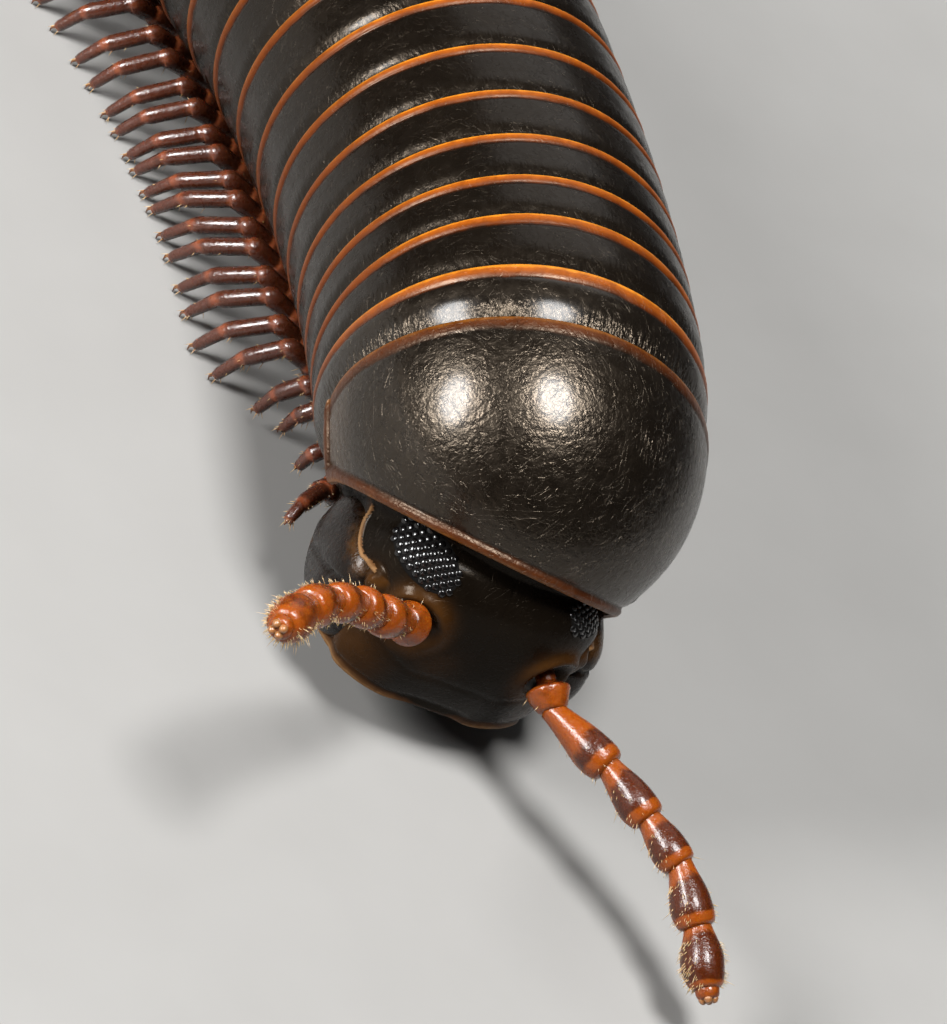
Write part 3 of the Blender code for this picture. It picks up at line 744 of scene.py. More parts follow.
def head_form(ball):
    """The bare head: the ball stretched, with its lower face dropped and leaning back."""
    low = smooth(-ball[..., 2])
    places = HEAD_CENTRE + ball * HEAD_HALF
    places[..., 1] *= 1 + 0.13 * smooth((-ball[..., 2] - 0.25) / 0.5)
    places[..., 2] -= 1.3 * low * (0.5 + 0.5 * ball[..., 0])
    places[..., 0] -= 0.3 * low
    return places


def under_shield(places):
    """Draws what lies past the shield's margin onto a dome 0.45 mm smaller than the shield."""
    past = places @ MARGIN_WAY
    share = smooth((MARGIN_REACH + 0.62 - past) / 0.66)[..., None]
    inside = places / np.linalg.norm(places / (DOME - 0.45), axis=-1, keepdims=True)
    return places + (inside - places) * share


FALLS = np.concatenate([np.linspace(2, 50, 24), np.linspace(50.5, 150, 150), np.linspace(151, 178, 22)])
ROUNDS = np.concatenate([np.linspace(-118, 118, 330), np.linspace(118, 242, 52)[1:-1], [-118]])
FACE_ROW, FACE_COLUMN = 100, 165
fall, round_ = np.radians(FALLS), np.radians(ROUNDS)
bare = under_shield(head_form(squared_ball(fall[:, None], round_[None, :])))
bare_normal = grid_normals(bare)
if bare_normal[FACE_ROW, FACE_COLUMN, 0] < 0:
    bare_normal = -bare_normal
print("head grid", bare.shape[:2], "front reach", round(float(bare[..., 0].max()), 2), "mm")

# %% [markdown]
# The relief of the face comes next: a rim along the cheek, where the head capsule ends above the jaw
# plates, a raised ring round each feeler's socket, a soft hollow between them, and a bead along the
# lip. Each place is given forward, left and up from the centre of the shield's hem.

# %% Relief of the head
SOCKETS = np.array(((5.02, 2.02, -2.55), (5.17, -1.93, -2.21)))
CHEEK_RIM = np.array(((1.3, -3.05, -0.2), (2.1, -3.2, -0.62), (2.55, -3.29, -1.12), (2.80, -3.36, -1.55),
                      (3.22, -3.36, -1.86), (3.65, -3.28, -1.97), (4.02, -3.10, -1.86), (4.30, -2.96, -1.78)))
KNOBS = np.array(((4.22, 2.90, -2.22), (4.24, -3.02, -2.12)))
TEETH = (-0.30, 0.0, 0.30)
LIP_SPOT = (5.1, -0.9, -2.9)
FAR_OFF = 9.0


def fine_line(places, steps=16):
    """A Catmull-Rom curve through places: in each span four of them weighted by cubics of its share."""
    ends = np.concatenate([2 * places[:1] - places[1:2], places, 2 * places[-1:] - places[-2:-1]])
    t = np.linspace(0, 1, steps)[:, None]
    weights = (-t + 2 * t**2 - t**3, 2 - 5 * t**2 + 3 * t**3, t + 4 * t**2 - 3 * t**3, t**3 - t**2)
    spans = [sum(w * ends[k + j] for j, w in enumerate(weights)) / 2 for k in range(len(places) - 1)]
    return np.concatenate(spans)


def distance_to(points, line):
    """Distance of points from the nearest point of a line, and which share of the line that is."""
    off = np.linalg.norm(points[..., None, :] - line, axis=-1)
    return off.min(axis=-1), off.argmin(axis=-1) / (len(line) - 1)


ahead, left, up = np.moveaxis(bare, -1, 0)
at_side = smooth((np.abs(left) - 2.3) / 0.4)
relief = np.zeros(bare.shape[:2])
glow = np.zeros(bare.shape[:2])
from_rim = np.full(bare.shape[:2], FAR_OFF)
for hand in (-1, 1):
    rim = fine_line(CHEEK_RIM * (1, -hand, 1) + (0.0, 0.0 if hand < 0 else -0.2, 0.0))
    own = left * hand > 0
    off, part = distance_to(bare, rim)
    off = np.where(own, off, FAR_OFF)
    ridge = bell(off, 0.065) * smooth((1.0 - part) / 0.12)
    relief += 0.10 * ridge
    over = up - np.interp(ahead, rim[:, 0], rim[:, 2])
    beyond = smooth(-over / 0.12) * smooth((4.30 - ahead) / 0.35) * smooth((ahead - 1.2) / 0.5)
    relief -= 0.15 * beyond * own * at_side
    hollow = np.exp(-(((ahead - 3.35) / 0.45) ** 2) - (((up + 1.25) / 0.42) ** 2)) * own
    relief -= 0.07 * hollow * at_side
    from_rim = np.where(ridge > 0.1, off * 0.9, from_rim)
    glow = np.maximum(glow, bell(off - 0.20, 0.20) * (over < 0))
for knob in KNOBS:
    off = np.linalg.norm(bare - knob, axis=-1)
    relief += 0.17 * bell(off, 0.30) - 0.06 * bell(off - 0.50, 0.10)
    glow = np.maximum(glow, bell(off, 0.42) * 0.8)
for socket in SOCKETS:
    off = np.linalg.norm(bare - socket, axis=-1)
    upper = 0.55 + 0.45 * np.clip((up - socket[2]) / 0.6, -1, 1)
    relief += 0.15 * bell(off - 0.74, 0.17) * upper
    relief -= 0.30 * bell(off, 0.50, 4)
    glow = np.maximum(glow, bell(off - 0.74, 0.30) * 0.9)
middle_line = left + 0.1
relief -= 0.05 * np.exp(-((middle_line / 1.1) ** 2) - (((up + 2.2) / 1.2) ** 2))
relief -= 0.012 * bell(middle_line, 0.03) * smooth((up + 2.6) / 0.6)
above_lip = (bare - LIP) @ LIP_UP
notch = 0.26 * bell(middle_line, 0.95, 4) * smooth((ahead - 3.2) / 0.8)
above_lip = above_lip - notch
for tooth in TEETH:
    notch = notch - 0.09 * bell(middle_line - tooth, 0.10) * smooth((ahead - 3.2) / 0.8)
facing = smooth((ahead - 2.2) / 1.2)
relief += 0.055 * bell(above_lip - 0.10, 0.10) * facing
relief -= 0.03 * bell(above_lip - 0.34, 0.07) * facing
relief -= 0.015 * bell(above_lip - 1.25 - 0.10 * middle_line**2, 0.10) * facing
from_lip = np.abs(above_lip - 0.09) * 0.6 + 0.12 * smooth(1.2 - np.abs(middle_line))
lip_distance = np.where(facing > 0.4, from_lip, FAR_OFF)
cheek_glow = smooth((-left - 1.2) / 1.4) * smooth((-up - 2.7) / 1.2)
left_glow = smooth((left - 1.4) / 1.4) * smooth((-up - 2.7) / 1.2)
spot = bell(np.linalg.norm(bare - LIP_SPOT, axis=-1), 0.55) * 0.5
glow = np.maximum(np.maximum(glow, np.maximum(cheek_glow, left_glow) * 0.8), spot)

# %% The head
shaped = bare + bare_normal * relief[..., None]
over_floor = (shaped - LIP) @ LIP_UP - notch
shaped = shaped + (held_positive(over_floor, 0.01) - over_floor)[..., None] * LIP_UP
shaped = shaped - held_positive(shaped @ HEM_BACK + 0.2, 0.01)[..., None] * HEM_BACK
values = {"hem": np.minimum(from_rim, lip_distance)[None], "warm": glow[None]}
head = make_tubes("head_capsule", shaped[None], HEAD_FINISH, values, ["head"], on_head)
print("head faces:", len(head.data.polygons))

# %% [markdown]
# ## Eyes
# A millipede's eye is a field of simple beads in slanting rows. The field is laid out flat as a
# lattice of two steps, kept inside an oval, and each bead is then dropped onto the head. The same
# small dome is copied to all the places by adding arrays. A dull black plate lies between the beads.

# %% Placing things on the head
flat_points = shaped.reshape(-1, 3)
flat_normals = grid_normals(shaped).reshape(-1, 3)
if flat_normals[FACE_ROW * shaped.shape[1] + FACE_COLUMN, 0] < 0:
    flat_normals = -flat_normals


def drop_on_head(places, way):
    """The head's surface under places, moved along one way to the nearest grid point's plane."""
    near = np.empty(len(places), dtype=int)
    for k, place in enumerate(places):
        off = flat_points - place
        across = off - (off @ way)[:, None] * way
        near[k] = np.argmin((across**2).sum(axis=1) + 0.02 * (off @ way) ** 2)
    normals = flat_normals[near]
    along = ((flat_points[near] - places) * normals).sum(axis=1) / (normals @ way)
    return places + along[:, None] * way, normals


def domes(centres, normals, radius, height, sides=10):
    """Small domes: one profile, a cap over a short skirt below the surface, turned round each normal."""
    level = np.array((-1.2, 0.0, 0.40, 0.75, 0.96))
    width = np.array((1.0, 1.0, 0.92, 0.64, 0.26))
    side = unit(np.cross(normals, (0.31, 0.52, 0.79)))
    other = np.cross(normals, side)
    spokes = spokes_at(circle(sides), side, other)
    grids = centres[:, None, None] + (level * height)[:, None, None] * normals[:, None, None]
    return grids + width[:, None, None] * radius * spokes[:, None]


# %% The eyes
EYE_CENTRE = np.array((4.42, -2.33, -0.72))
ROW_STEP = np.array((0.150, 0.161, -0.020))
SIDE_STEP = np.array((0.003, 0.135, 0.116))
FIELD_HALF = (1.08, 0.60)
LEFT_EYE_SHIFT = (-0.32, 0.10, 0.0)
BEAD_RADIUS, BEAD_HEIGHT, BEAD_LIFT = 0.092, 0.028, 0.020
FIELD_SIDES = 48
FIELD_RHO = np.array((0.25, 0.5, 0.72, 0.88, 0.97, 1.03, 1.08))
FIELD_LIFT = np.array((0.016, 0.016, 0.016, 0.014, 0.008, -0.01, -0.05))

eye_way = unit(np.cross(ROW_STEP, SIDE_STEP))
long_way = unit(np.array((1.60, 1.60, -0.33)))
short_way = unit(np.cross(eye_way, long_way))
i, j = (grid.ravel() for grid in np.meshgrid(np.arange(-9, 10), np.arange(-7, 8)))
spread = i[:, None] * ROW_STEP + j[:, None] * SIDE_STEP
inside = ((spread @ long_way) / FIELD_HALF[0]) ** 2 + ((spread @ short_way) / FIELD_HALF[1]) ** 2 < 1
spread = spread[inside]
for side, hand in (("right", 1), ("left", -1)):
    flip = np.array((1, hand, 1))
    shift = np.array((0.0, 0.0, 0.0) if hand > 0 else LEFT_EYE_SHIFT)
    way = eye_way * flip * np.sign(eye_way[0])
    beads, bead_normals = drop_on_head((EYE_CENTRE + spread) * flip + shift, way)
    grids = domes(beads + bead_normals * BEAD_LIFT, bead_normals, BEAD_RADIUS, BEAD_HEIGHT)
    make_tubes(f"bead_eye_{side}", grids, EYE_FINISH, None, [f"eye_{side}"], on_head)
    turn = circle(FIELD_SIDES)[:, None]
    oval = FIELD_RHO[:, None, None] * (np.cos(turn) * long_way * 1.06 + np.sin(turn) * short_way * 0.62)
    plate, plate_normals = drop_on_head(((EYE_CENTRE + oval) * flip + shift).reshape(-1, 3), way)
    plate = plate + plate_normals * np.repeat(FIELD_LIFT, FIELD_SIDES)[:, None]
    plate = plate.reshape(len(FIELD_RHO), FIELD_SIDES, 3)
    plate = np.concatenate([plate, plate[-1:] - way * 0.15])
    make_tubes(f"eye_field_{side}", plate[None], FIELD_FINISH, place=on_head)
print("beads in each eye:", len(spread))

# %% [markdown]
# ## Jaw plates and chin
# Beside the mouth bulge the bases of the jaws, each of two plates with a groove between them, and
# below lies the broad chin plate. They are squared balls with grooves cut as bell curves.

# %% Jaw plates
def lump(centre, half, rows, sides):
    """A squared ball as a grid, with its poles above and below."""
    fall = np.radians(np.linspace(3, 177, rows))[:, None]
    round_ = np.linspace(0, 2 * math.pi, sides, endpoint=False)[None, :]
    ball = squared_ball(fall, round_)
    return centre + ball * half, ball


JAW_CENTRE, JAW_HALF = (2.45, 2.80, -3.20), np.array((1.80, 0.86, 1.62))
CHIN_CENTRE, CHIN_HALF = (2.2, 0.0, -4.72), np.array((2.15, 2.15, 0.62))
for side, hand in (("left", 1), ("right", -1)):
    grid, ball = lump(np.array(JAW_CENTRE) * (1, hand, 1), JAW_HALF, 72, 108)
    grid[..., 1] -= hand * 0.10 * smooth(-ball[..., 2])
    groove = grid[..., 2] - (-3.35 + 0.42 * (grid[..., 0] - 2.4))
    dent = 0.10 * bell(groove, 0.07) + 0.05 * bell(grid[..., 0] - 3.35, 0.06) * (groove < 0)
    swell = 0.06 * bell(groove - 0.5, 0.45) + 0.05 * bell(groove + 0.7, 0.5)
    grid = grid + unit(ball / JAW_HALF) * (swell - dent)[..., None]
    from_cheek, _ = distance_to(grid, fine_line(CHEEK_RIM * (1, -hand, 1)))
    # Paler along the cheek rim; away from it, painted shade darkens the jaw plates, which lie in shade under
    # the head.
    values = {"dark": (1.0 - 0.9 * bell(from_cheek, 0.42))[None]}
    nodes = [f"cheek_{side}"]
    make_tubes(f"jaw_plates_{side}", grid[None], SHADED_MOUTH_FINISH, values, nodes, on_head)
grid, ball = lump(np.array(CHIN_CENTRE), CHIN_HALF, 40, 128)
middle = np.abs(grid[..., 1])
seam = 0.75 - 0.20 * (grid[..., 0] - 1.0)
dent = 0.07 * bell(middle - seam, 0.06) + 0.05 * bell(middle, 0.05) * (grid[..., 0] > 2.4)
grid[..., 2] += dent * (ball[..., 2] < 0)
values = {"dark": (0.35 + 0.5 * bell(middle - seam, 0.12))[None]}
make_tubes("chin_plate", grid[None], SHADED_MOUTH_FINISH, values, ["chin"], on_head)
print("jaw plates and chin made")

# %% [markdown]
# ## Feelers
# Each feeler has six club-shaped articles and a short tip with four sense cones. An article is a
# tube with its own profile of radii: a narrow neck that sits in the end of the one before, a bulb
# near its far end, and a collar. The bulb leans to the outer side, as in the photo.

# %% Articles of the feelers
LEFT_ROOT = (4.74, 1.84, -2.43)
LEFT_STEPS = ((0.94, 0.43, -0.42), (1.39, 1.37, 0.07), (1.18, 1.06, -0.14),
              (1.00, 0.87, -0.20), (1.22, 0.70, -0.62), (1.23, 0.51, -0.68))
RIGHT_ROOT = (5.13, 1.90, -2.27)
RIGHT_STEPS = ((0.66, 0.55, 0.55), (1.24, 1.29, 0.89), (0.76, 0.98, 0.65),
               (0.83, 0.98, 0.47), (1.04, 0.98, 0.37), (1.20, 0.80, 0.19))
ARTICLES = np.array((
    (0.25, 0.56, 0.33, 0.55, 0.38, 1.15), (0.29, 0.52, 0.37, 0.80, 0.0, 2.0),
    (0.30, 0.50, 0.36, 0.74, 0.0, 2.0), (0.30, 0.48, 0.35, 0.72, 0.0, 2.0),
    (0.30, 0.52, 0.37, 0.72, 0.0, 2.0), (0.33, 0.53, 0.27, 0.58, 0.0, 2.0),
))
DARK_STARTS = np.array((1.2, 0.50, 0.22, 0.22, 0.20, 0.12))[:, None, None]
DARK_STOPS = np.array((1.3, 0.88, 0.86, 0.86, 0.86, 0.94))[:, None, None]
ARTICLE_ROWS = np.concatenate([
    np.linspace(0, 0.66, 16), np.linspace(0.71, 0.93, 7), (0.955, 0.975, 0.99, 1.0)])
ARTICLE_SIDES = 28
TIP_ROWS = np.array(((-0.12, 0.26), (0.0, 0.30), (0.10, 0.29), (0.18, 0.26), (0.23, 0.20), (0.245, 0.10)))
CONE_ROWS = np.array(((0.0, 0.11), (0.07, 0.105), (0.13, 0.075), (0.165, 0.03)))
CONE_SIDES = 10


def article_radius(share, neck, bulb, end, peak, stop, round_):
    """Radius along an article: a neck that swells to the bulb at its peak, then closes to the end.

    With u from 0 at the peak to 1 at the end it closes as (1 - u^r)^(1/r), a cone where r is 1 and a
    quarter ellipse where r is 2. A row of the table holds neck, bulb, end, peak, stop and r.
    """
    swelling = neck + (bulb - neck) * smooth((share - stop) / (peak - stop)) ** 0.8
    past = np.clip((share - peak) / (1.001 - peak), 0, 1)
    closing = end + (bulb - end) * (1 - past**round_) ** (1 / round_)
    rounding = 0.07 * np.clip((share - 0.94) / 0.06, 0, 1) ** 3
    return np.where(share < peak, swelling, closing) - rounding


def make_feeler(side, root, steps, hand, pigment):
    """One feeler and its sense cones. Returns its grid, and each article's root and direction."""
    places = np.cumsum([root, *steps], axis=0) * (1, hand, 1)
    near, far = places[:-1], places[1:]
    length = np.linalg.norm(far - near, axis=1)
    way = unit(far - near)
    up = unit(np.cross(way, np.cross((0.0, 0.0, 1.0), way)))
    lean = unit(np.cross(up, way)) * -hand
    rows = ARTICLE_ROWS
    radius = article_radius(rows[None, :], *ARTICLES.T[..., None])
    sink = np.where(np.arange(len(steps)) > 0, 0.10, 0.05)[:, None]
    along = rows[None, :] * (length[:, None] + sink) - sink
    turn = circle(ARTICLE_SIDES)
    spokes = spokes_at(turn, up, lean)
    shape = radius[..., None] * (1 + 0.07 * bell(rows - 0.72, 0.2)[None, :, None] * np.sin(turn))
    grid = near[:, None, None] + along[..., None, None] * way[:, None, None]
    grid = grid + shape[..., None] * spokes[:, None]
    edge_wave = 0.02 * np.sin(3 * turn + 1.0) + 0.10 * np.cos(turn - 0.3)
    past = rows[None, :, None] + edge_wave - DARK_STARTS
    short = DARK_STOPS - rows[None, :, None]
    top = smooth((np.cos(turn) + 0.35 + 0.55 * np.sin(turn)) / 0.70)
    dark = smooth(past / 0.34) * smooth(short / 0.10) * (0.12 + 0.88 * top) * 1.15 * pigment
    dark[0] = 0.35 + 0.35 * smooth((0.60 - rows[:, None]) / 0.12)
    tip = far[-1] + TIP_ROWS[:, :1, None] * way[-1] + TIP_ROWS[:, 1:, None] * spokes[-1]
    points, faces = closed_tubes(grid)
    more, more_faces = closed_tubes(tip[None])
    faces += [group + len(points) for group in more_faces]
    marks = {"dark": np.concatenate([tube_marks(dark), np.full(len(more), 0.35)])}
    points = on_head(np.concatenate([points, more]))
    make_piece(f"feeler_{side}", points, faces, FEELER_FINISH, marks, [f"antenna_{side}"])
    cone_base = far[-1] + way[-1] * 0.18 + 0.135 * spokes_at(circle(4, 0.5), up[-1], lean[-1])
    cone_ring = spokes_at(circle(CONE_SIDES), up[-1], lean[-1])
    cones = cone_base[:, None, None] + CONE_ROWS[:, :1, None] * way[-1] + CONE_ROWS[:, 1:, None] * cone_ring
    values = {"dark": np.zeros(cones.shape[:3])}
    make_tubes(f"sense_cones_{side}", cones, CLAW_FINISH, values, place=on_head)
    return grid, near, way


# %% [markdown]
# ### Bristles
# A bristle is a spike with three sides: three corners at its root, three half way and one at its
# tip. Hundreds of them are made at once, each at a point of the grid that carries it, leaning from
# the surface's normal towards the far end.

# %% Bristles
def make_bristles(name, roots, ways, lengths, thick, darks, place=None):
    """A piece of spikes from arrays of roots, directions and lengths, with one radius at the root.

    Darks are the marks of the root, the middle and the tip.
    """
    side = unit(np.cross(ways, (0.37, 0.61, 0.70)))
    ring = spokes_at(circle(3), side, np.cross(ways, side)) * thick
    reach = ways[:, None] * lengths[:, None, None]
    roots = roots[:, None]
    points = np.concatenate([roots + ring, roots + reach * 0.5 + ring * 0.75, roots + reach], axis=1)
    shift = (np.arange(len(roots)) * 7)[:, None, None]
    quads = np.array([(k, (k + 1) % 3, 3 + (k + 1) % 3, 3 + k) for k in range(3)])[None] + shift
    fans = np.array([(3 + k, 3 + (k + 1) % 3, 6) for k in range(3)] + [(2, 1, 0)])[None] + shift
    faces = [quads.reshape(-1, 4), fans.reshape(-1, 3)]
    marks = {"dark": np.tile(np.repeat(darks, (3, 3, 1)), len(roots))}
    points = points.reshape(-1, 3)
    make_piece(name, place(points) if place else points, faces, BRISTLE_FINISH, marks)


BRISTLE_COUNTS = (4, 40, 90, 110, 180, 380)
BARE_WAYS = {"left": (-0.35, -0.25, 0.9), "right": (0.45, -0.25, 0.85)}
BARE_LIMIT = 0.45
LONG_SHARE = 0.07


def feeler_bristles(side, grid, near, way, seed):
    """Bristles on one feeler, more of them on the far articles, some of them long, none on its top."""
    draw = np.random.default_rng(seed)
    article = np.repeat(np.arange(6), BRISTLE_COUNTS)
    row = draw.integers(6, 24, len(article))
    side_number = draw.integers(0, grid.shape[2], len(article))
    mixed = draw.random((len(article), 1))
    first = grid[article, row, side_number]
    second = grid[article, np.minimum(row + 1, grid.shape[1] - 1), (side_number + 1) % grid.shape[2]]
    roots = first + (second - first) * mixed
    axis = near[article] + ((roots - near[article]) * way[article]).sum(axis=1, keepdims=True) * way[article]
    outward = unit(roots - axis)
    kept = (outward @ BARE_WAYS[side]) <= BARE_LIMIT
    article, roots, outward = article[kept], roots[kept], outward[kept]
    ways = unit(outward * 0.8 + way[article] * 0.6 + draw.normal(0, 0.10, roots.shape))
    lengths = draw.uniform(0.10, 0.20, len(article))
    lengths = np.where(draw.random(len(article)) < LONG_SHARE, lengths * 2.0, lengths)
    name = f"feeler_bristles_{side}"
    roots = roots - outward * 0.02
    make_bristles(name, roots, ways, lengths, 0.011, (0.5, 0.2, 0.0), on_head)
    return len(article)


for side, root, steps, hand, pigment, seed in (
    ("left", LEFT_ROOT, LEFT_STEPS, 1, 1.0, 11), ("right", RIGHT_ROOT, RIGHT_STEPS, -1, 0.45, 12),
):
    grid, near, way = make_feeler(side, root, steps, hand, pigment)
    print("feeler", side, "bristles:", feeler_bristles(side, grid, near, way, seed))

# %% [markdown]
# ## Legs
# Every leg has six segments and a claw. All legs are worked out together: one array holds the five
# bends of each leg, from its root under the belly to its foot, and a segment is three rows of a tube,
# narrow at its joint and swollen towards its far end. A wave passes along the legs as it walks.

# %% Bends of the legs
RINGS = np.arange(FIRST_RING, LAST_LEGGED_RING + 1)
single = RINGS <= LAST_SINGLE_RING
pair_ring = np.repeat(RINGS, np.where(single, 1, 2))
pair_share = np.concatenate([np.full(single.sum(), 0.5), np.tile((0.25, 0.75), (~single).sum())])
starts, ends = RING_ENDS[pair_ring - FIRST_RING], RING_ENDS[pair_ring - FIRST_RING + 1]
pair_along = starts + 0.15 + (ends - starts - 0.3) * pair_share
pair_radius = ring_radius(pair_ring - 1) + (ring_radius(pair_ring) - ring_radius(pair_ring - 1)) * 0.38
FRONT_LEGS = np.array((
    (4.05, 1.90, 3.05, 0.65), (3.05, 1.25, 2.45, -0.15), (2.85, 0.80, 2.40, -0.15),
    (3.05, 0.60, 2.55, 0.00), (3.55, 0.30, 2.85, 0.15), (4.45, 0.00, 3.30, 0.35),
))
STANDING_LEG = np.array((4.90, 0.00, 3.50, 0.42))
FRONT_REACH, NECK_SPAN, SWEEP, SWEEP_SPAN = 2.9, 2.1, 1.2, 4.0
WAVE_HEIGHT, WAVE_PAIRS, LEFT_LAG = 0.5, 13, 0.6
ANKLE_SHARE = 0.68
pairs = len(pair_ring)
shapes = np.concatenate([FRONT_LEGS, np.tile(STANDING_LEG, (pairs - len(FRONT_LEGS), 1))])


def leg_bends(hand):
    """Root, hip, knee, ankle and foot of every leg of one side, an array (leg, bend, xyz)."""
    centre, back, left, up = station(pair_along)
    out, ahead = left * hand, unit(-back * (1, 1, 0))
    under = centre - up * (pair_radius * 0.95)[:, None]
    ground = under[:, 2]
    foot_out, lift, knee_out, knee_rise = shapes.T
    near_head = np.exp(-pair_along / NECK_SPAN)
    wave = WAVE_HEIGHT * np.sin(2 * math.pi * np.arange(pairs) / WAVE_PAIRS + (hand > 0) * LEFT_LAG)
    sweep = SWEEP * (1 - bell(pair_along, SWEEP_SPAN))
    forward = FRONT_REACH * near_head + wave * (1 - near_head) - sweep
    knee = ground + knee_rise
    ankle = knee + (lift - knee) * ANKLE_SHARE**1.5 + 0.18
    ankle_out = knee_out + (foot_out - knee_out) * ANKLE_SHARE
    outs = np.stack([np.full(pairs, 0.8), np.full(pairs, 1.2), knee_out, ankle_out, foot_out])
    shares = np.array((0.0, 0.0, 0.35, 0.75, 1.0))[:, None]
    bends = under + outs[..., None] * out + (forward * shares)[..., None] * ahead
    bends[..., 2] = np.stack([ground, ground - 0.4, knee, ankle, lift])
    bends[0] += up * 1.1
    return bends.transpose(1, 0, 2)


# %% Segments of the legs
BEND_RADII = np.array((0.34, 0.32, 0.265, 0.21, 0.115))
SEGMENTS = ((0.0, 1.0), (1.0, 1.28), (1.28, 1.70), (1.70, 2.06), (2.06, 3.0), (3.0, 3.80))
SEGMENT_ROWS = np.array((
    (0.02, 0.86, 0.25), (0.12, 0.90, 0.7), (0.55, 0.99, 1.0), (0.86, 1.06, 0.9), (0.985, 0.93, 0.3)))
CLAW_ROWS = np.array((
    (0.0, 0.0, 0.075), (0.25, 0.05, 0.066), (0.5, 0.075, 0.050), (0.75, 0.055, 0.030), (1.0, 0.0, 0.010)))
LEG_SIDES = 8
row_shares, row_scales, row_darks = SEGMENT_ROWS.T
leg_rows = np.concatenate([start + (end - start) * row_shares for start, end in SEGMENTS])
leg_scales = np.tile(row_scales, len(SEGMENTS))
leg_darks = np.tile(row_darks, len(SEGMENTS))


def along_bends(bends, rows):
    """Places on the line through the bends, for rows that are a bend's number and a share of a span."""
    span = np.clip(np.floor(rows).astype(int), 0, bends.shape[1] - 2)
    share = (rows - span)[None, :, None]
    return bends[:, span] * (1 - share) + bends[:, span + 1] * share


def make_legs(side, hand):
    """All legs of one side as one piece, with their claws as another. Returns the grid for the bristles."""
    bends = leg_bends(hand)
    centres = along_bends(bends, leg_rows)
    ways = unit(np.gradient(centres, axis=1))
    radius = np.interp(leg_rows, np.arange(5), BEND_RADII) * leg_scales
    side_way = unit(np.cross(ways, (0.0, 0.0, 1.0)))
    other = np.cross(side_way, ways)
    spokes = spokes_at(circle(LEG_SIDES, 0.5), side_way, other)
    grid = centres[:, :, None] + radius[:, None, None] * spokes
    values = {"dark": np.broadcast_to(leg_darks[None, :, None], grid.shape[:3])}
    nodes = [f"ring_{ring:02d}" for ring in RINGS]
    make_tubes(f"legs_{side}", grid, LEG_FINISH, values, nodes)
    claw_share, hook, thick = CLAW_ROWS.T
    claw_start = centres[:, -1] - 0.05 * ways[:, -1]
    run = bends[:, -1] - claw_start
    spine = claw_start[:, None] + claw_share[:, None] * run[:, None] + hook[:, None] * other[:, -1:, :]
    spine[..., 2] = np.maximum(spine[..., 2], thick * 0.8)
    claws = spine[:, :, None] + thick[:, None, None] * spokes[:, -1:, ::2]
    values = {"dark": np.broadcast_to(claw_share[None, :, None], claws.shape[:3])}
    make_tubes(f"claws_{side}", claws, CLAW_FINISH, values)
    return grid, centres, ways


CLEARANCE = 0.015


def leg_bristles(side, grid, centres, ways, seed):
    """Bristles on the legs of one side, longer ones below, and a crown of three round each claw."""
    draw = np.random.default_rng(seed)
    leg = np.concatenate([np.repeat(np.arange(pairs), 14), np.repeat(np.arange(6), 60)])
    row = draw.integers(6, len(leg_rows), len(leg))
    column = draw.integers(0, LEG_SIDES, len(leg))
    roots = grid[leg, row, column]
    outward = unit(roots - centres[leg, row])
    below = smooth((0.2 - outward[:, 2]) / 0.8)
    lean = unit(outward * 0.75 + ways[leg, row] * 0.65 + draw.normal(0, 0.08, roots.shape))
    lengths = draw.uniform(0.08, 0.15, len(leg)) + 0.20 * below * draw.random(len(leg))
    crowns = np.arange(pairs * 3)
    crown_leg = crowns // 3
    crown = grid[crown_leg, -1, (crowns % 3) * 2 + 2]
    crown_way = unit(ways[crown_leg, -1] + 0.45 * unit(crown - centres[crown_leg, -1]))
    kept = (outward[:, 2] < 0.6) & (roots[:, 2] + lean[:, 2] * lengths > 0.02)
    roots = np.concatenate([roots[kept] - outward[kept] * 0.03, crown - crown_way * 0.03])
    lean = np.concatenate([lean[kept], crown_way])
    lengths = np.concatenate([lengths[kept], np.full(len(crowns), 0.24)])
    room = np.clip((roots[:, 2] - CLEARANCE) / np.maximum(-lean[:, 2], 0.05), 0.03, None)
    lengths = np.where(roots[:, 2] + lean[:, 2] * lengths < CLEARANCE, room, lengths)
    name = f"leg_bristles_{side}"
    make_bristles(name, roots, lean, lengths, 0.013, (0.7, 0.4, 0.1))
    return len(roots)


for side, hand, seed in (("left", 1, 21), ("right", -1, 22)):
    grid, centres, ways = make_legs(side, hand)
    print("legs", side, len(grid), "bristles", leg_bristles(side, grid, centres, ways, seed))

# %% [markdown]
# ## Tail
# The last ring narrows and its upper edge draws out to a blunt point. Two swollen valves close the
# body behind it, with raised lips where they meet, and a small scale lies below them. The point is
# the fourth power of the height on the ring, so that only its top is drawn out.

# %% The last ring
tail_centre, tail_back, tail_left, tail_up = (array[0] for array in station(RING_ENDS[-1]))
TAIL_RADIUS = ring_radius(LAST_RING)
TAIL_LENGTH = 2.3
rows = np.concatenate([
    (-0.14, -0.10, 0.0, 0.04, 0.08, 0.12), np.linspace(0.2, 0.86, 14), (0.9, 0.93, 0.96, 0.985, 1.0)])
turn = circle(160, 0.5)
rounded = -0.10 * (1 - smooth((1.0 - rows) / 0.03)) - 0.22 * bell(np.maximum(rows, 0), 0.10)
bead = 0.04 * bell(rows - 0.95, 0.035)
size = (TAIL_RADIUS * 0.995 * (1 - 0.2 * np.clip(rows, 0, 1) ** 2) + rounded + bead)[:, None]
height = belly(np.cos(turn))
point = 0.9 * np.clip(height, 0, 1) ** 4 * np.clip(rows, 0, 1)[:, None] ** 2
reach = 0.15 + TAIL_LENGTH * rows[:, None] + point


def on_tail(back_reach, left_reach, up_reach):
    """World places of points given back, to the left and up from the end of the last body ring."""
    parts = zip((back_reach, left_reach, up_reach), (tail_back, tail_left, tail_up))
    return tail_centre + sum(np.asarray(reach)[..., None] * way for reach, way in parts)


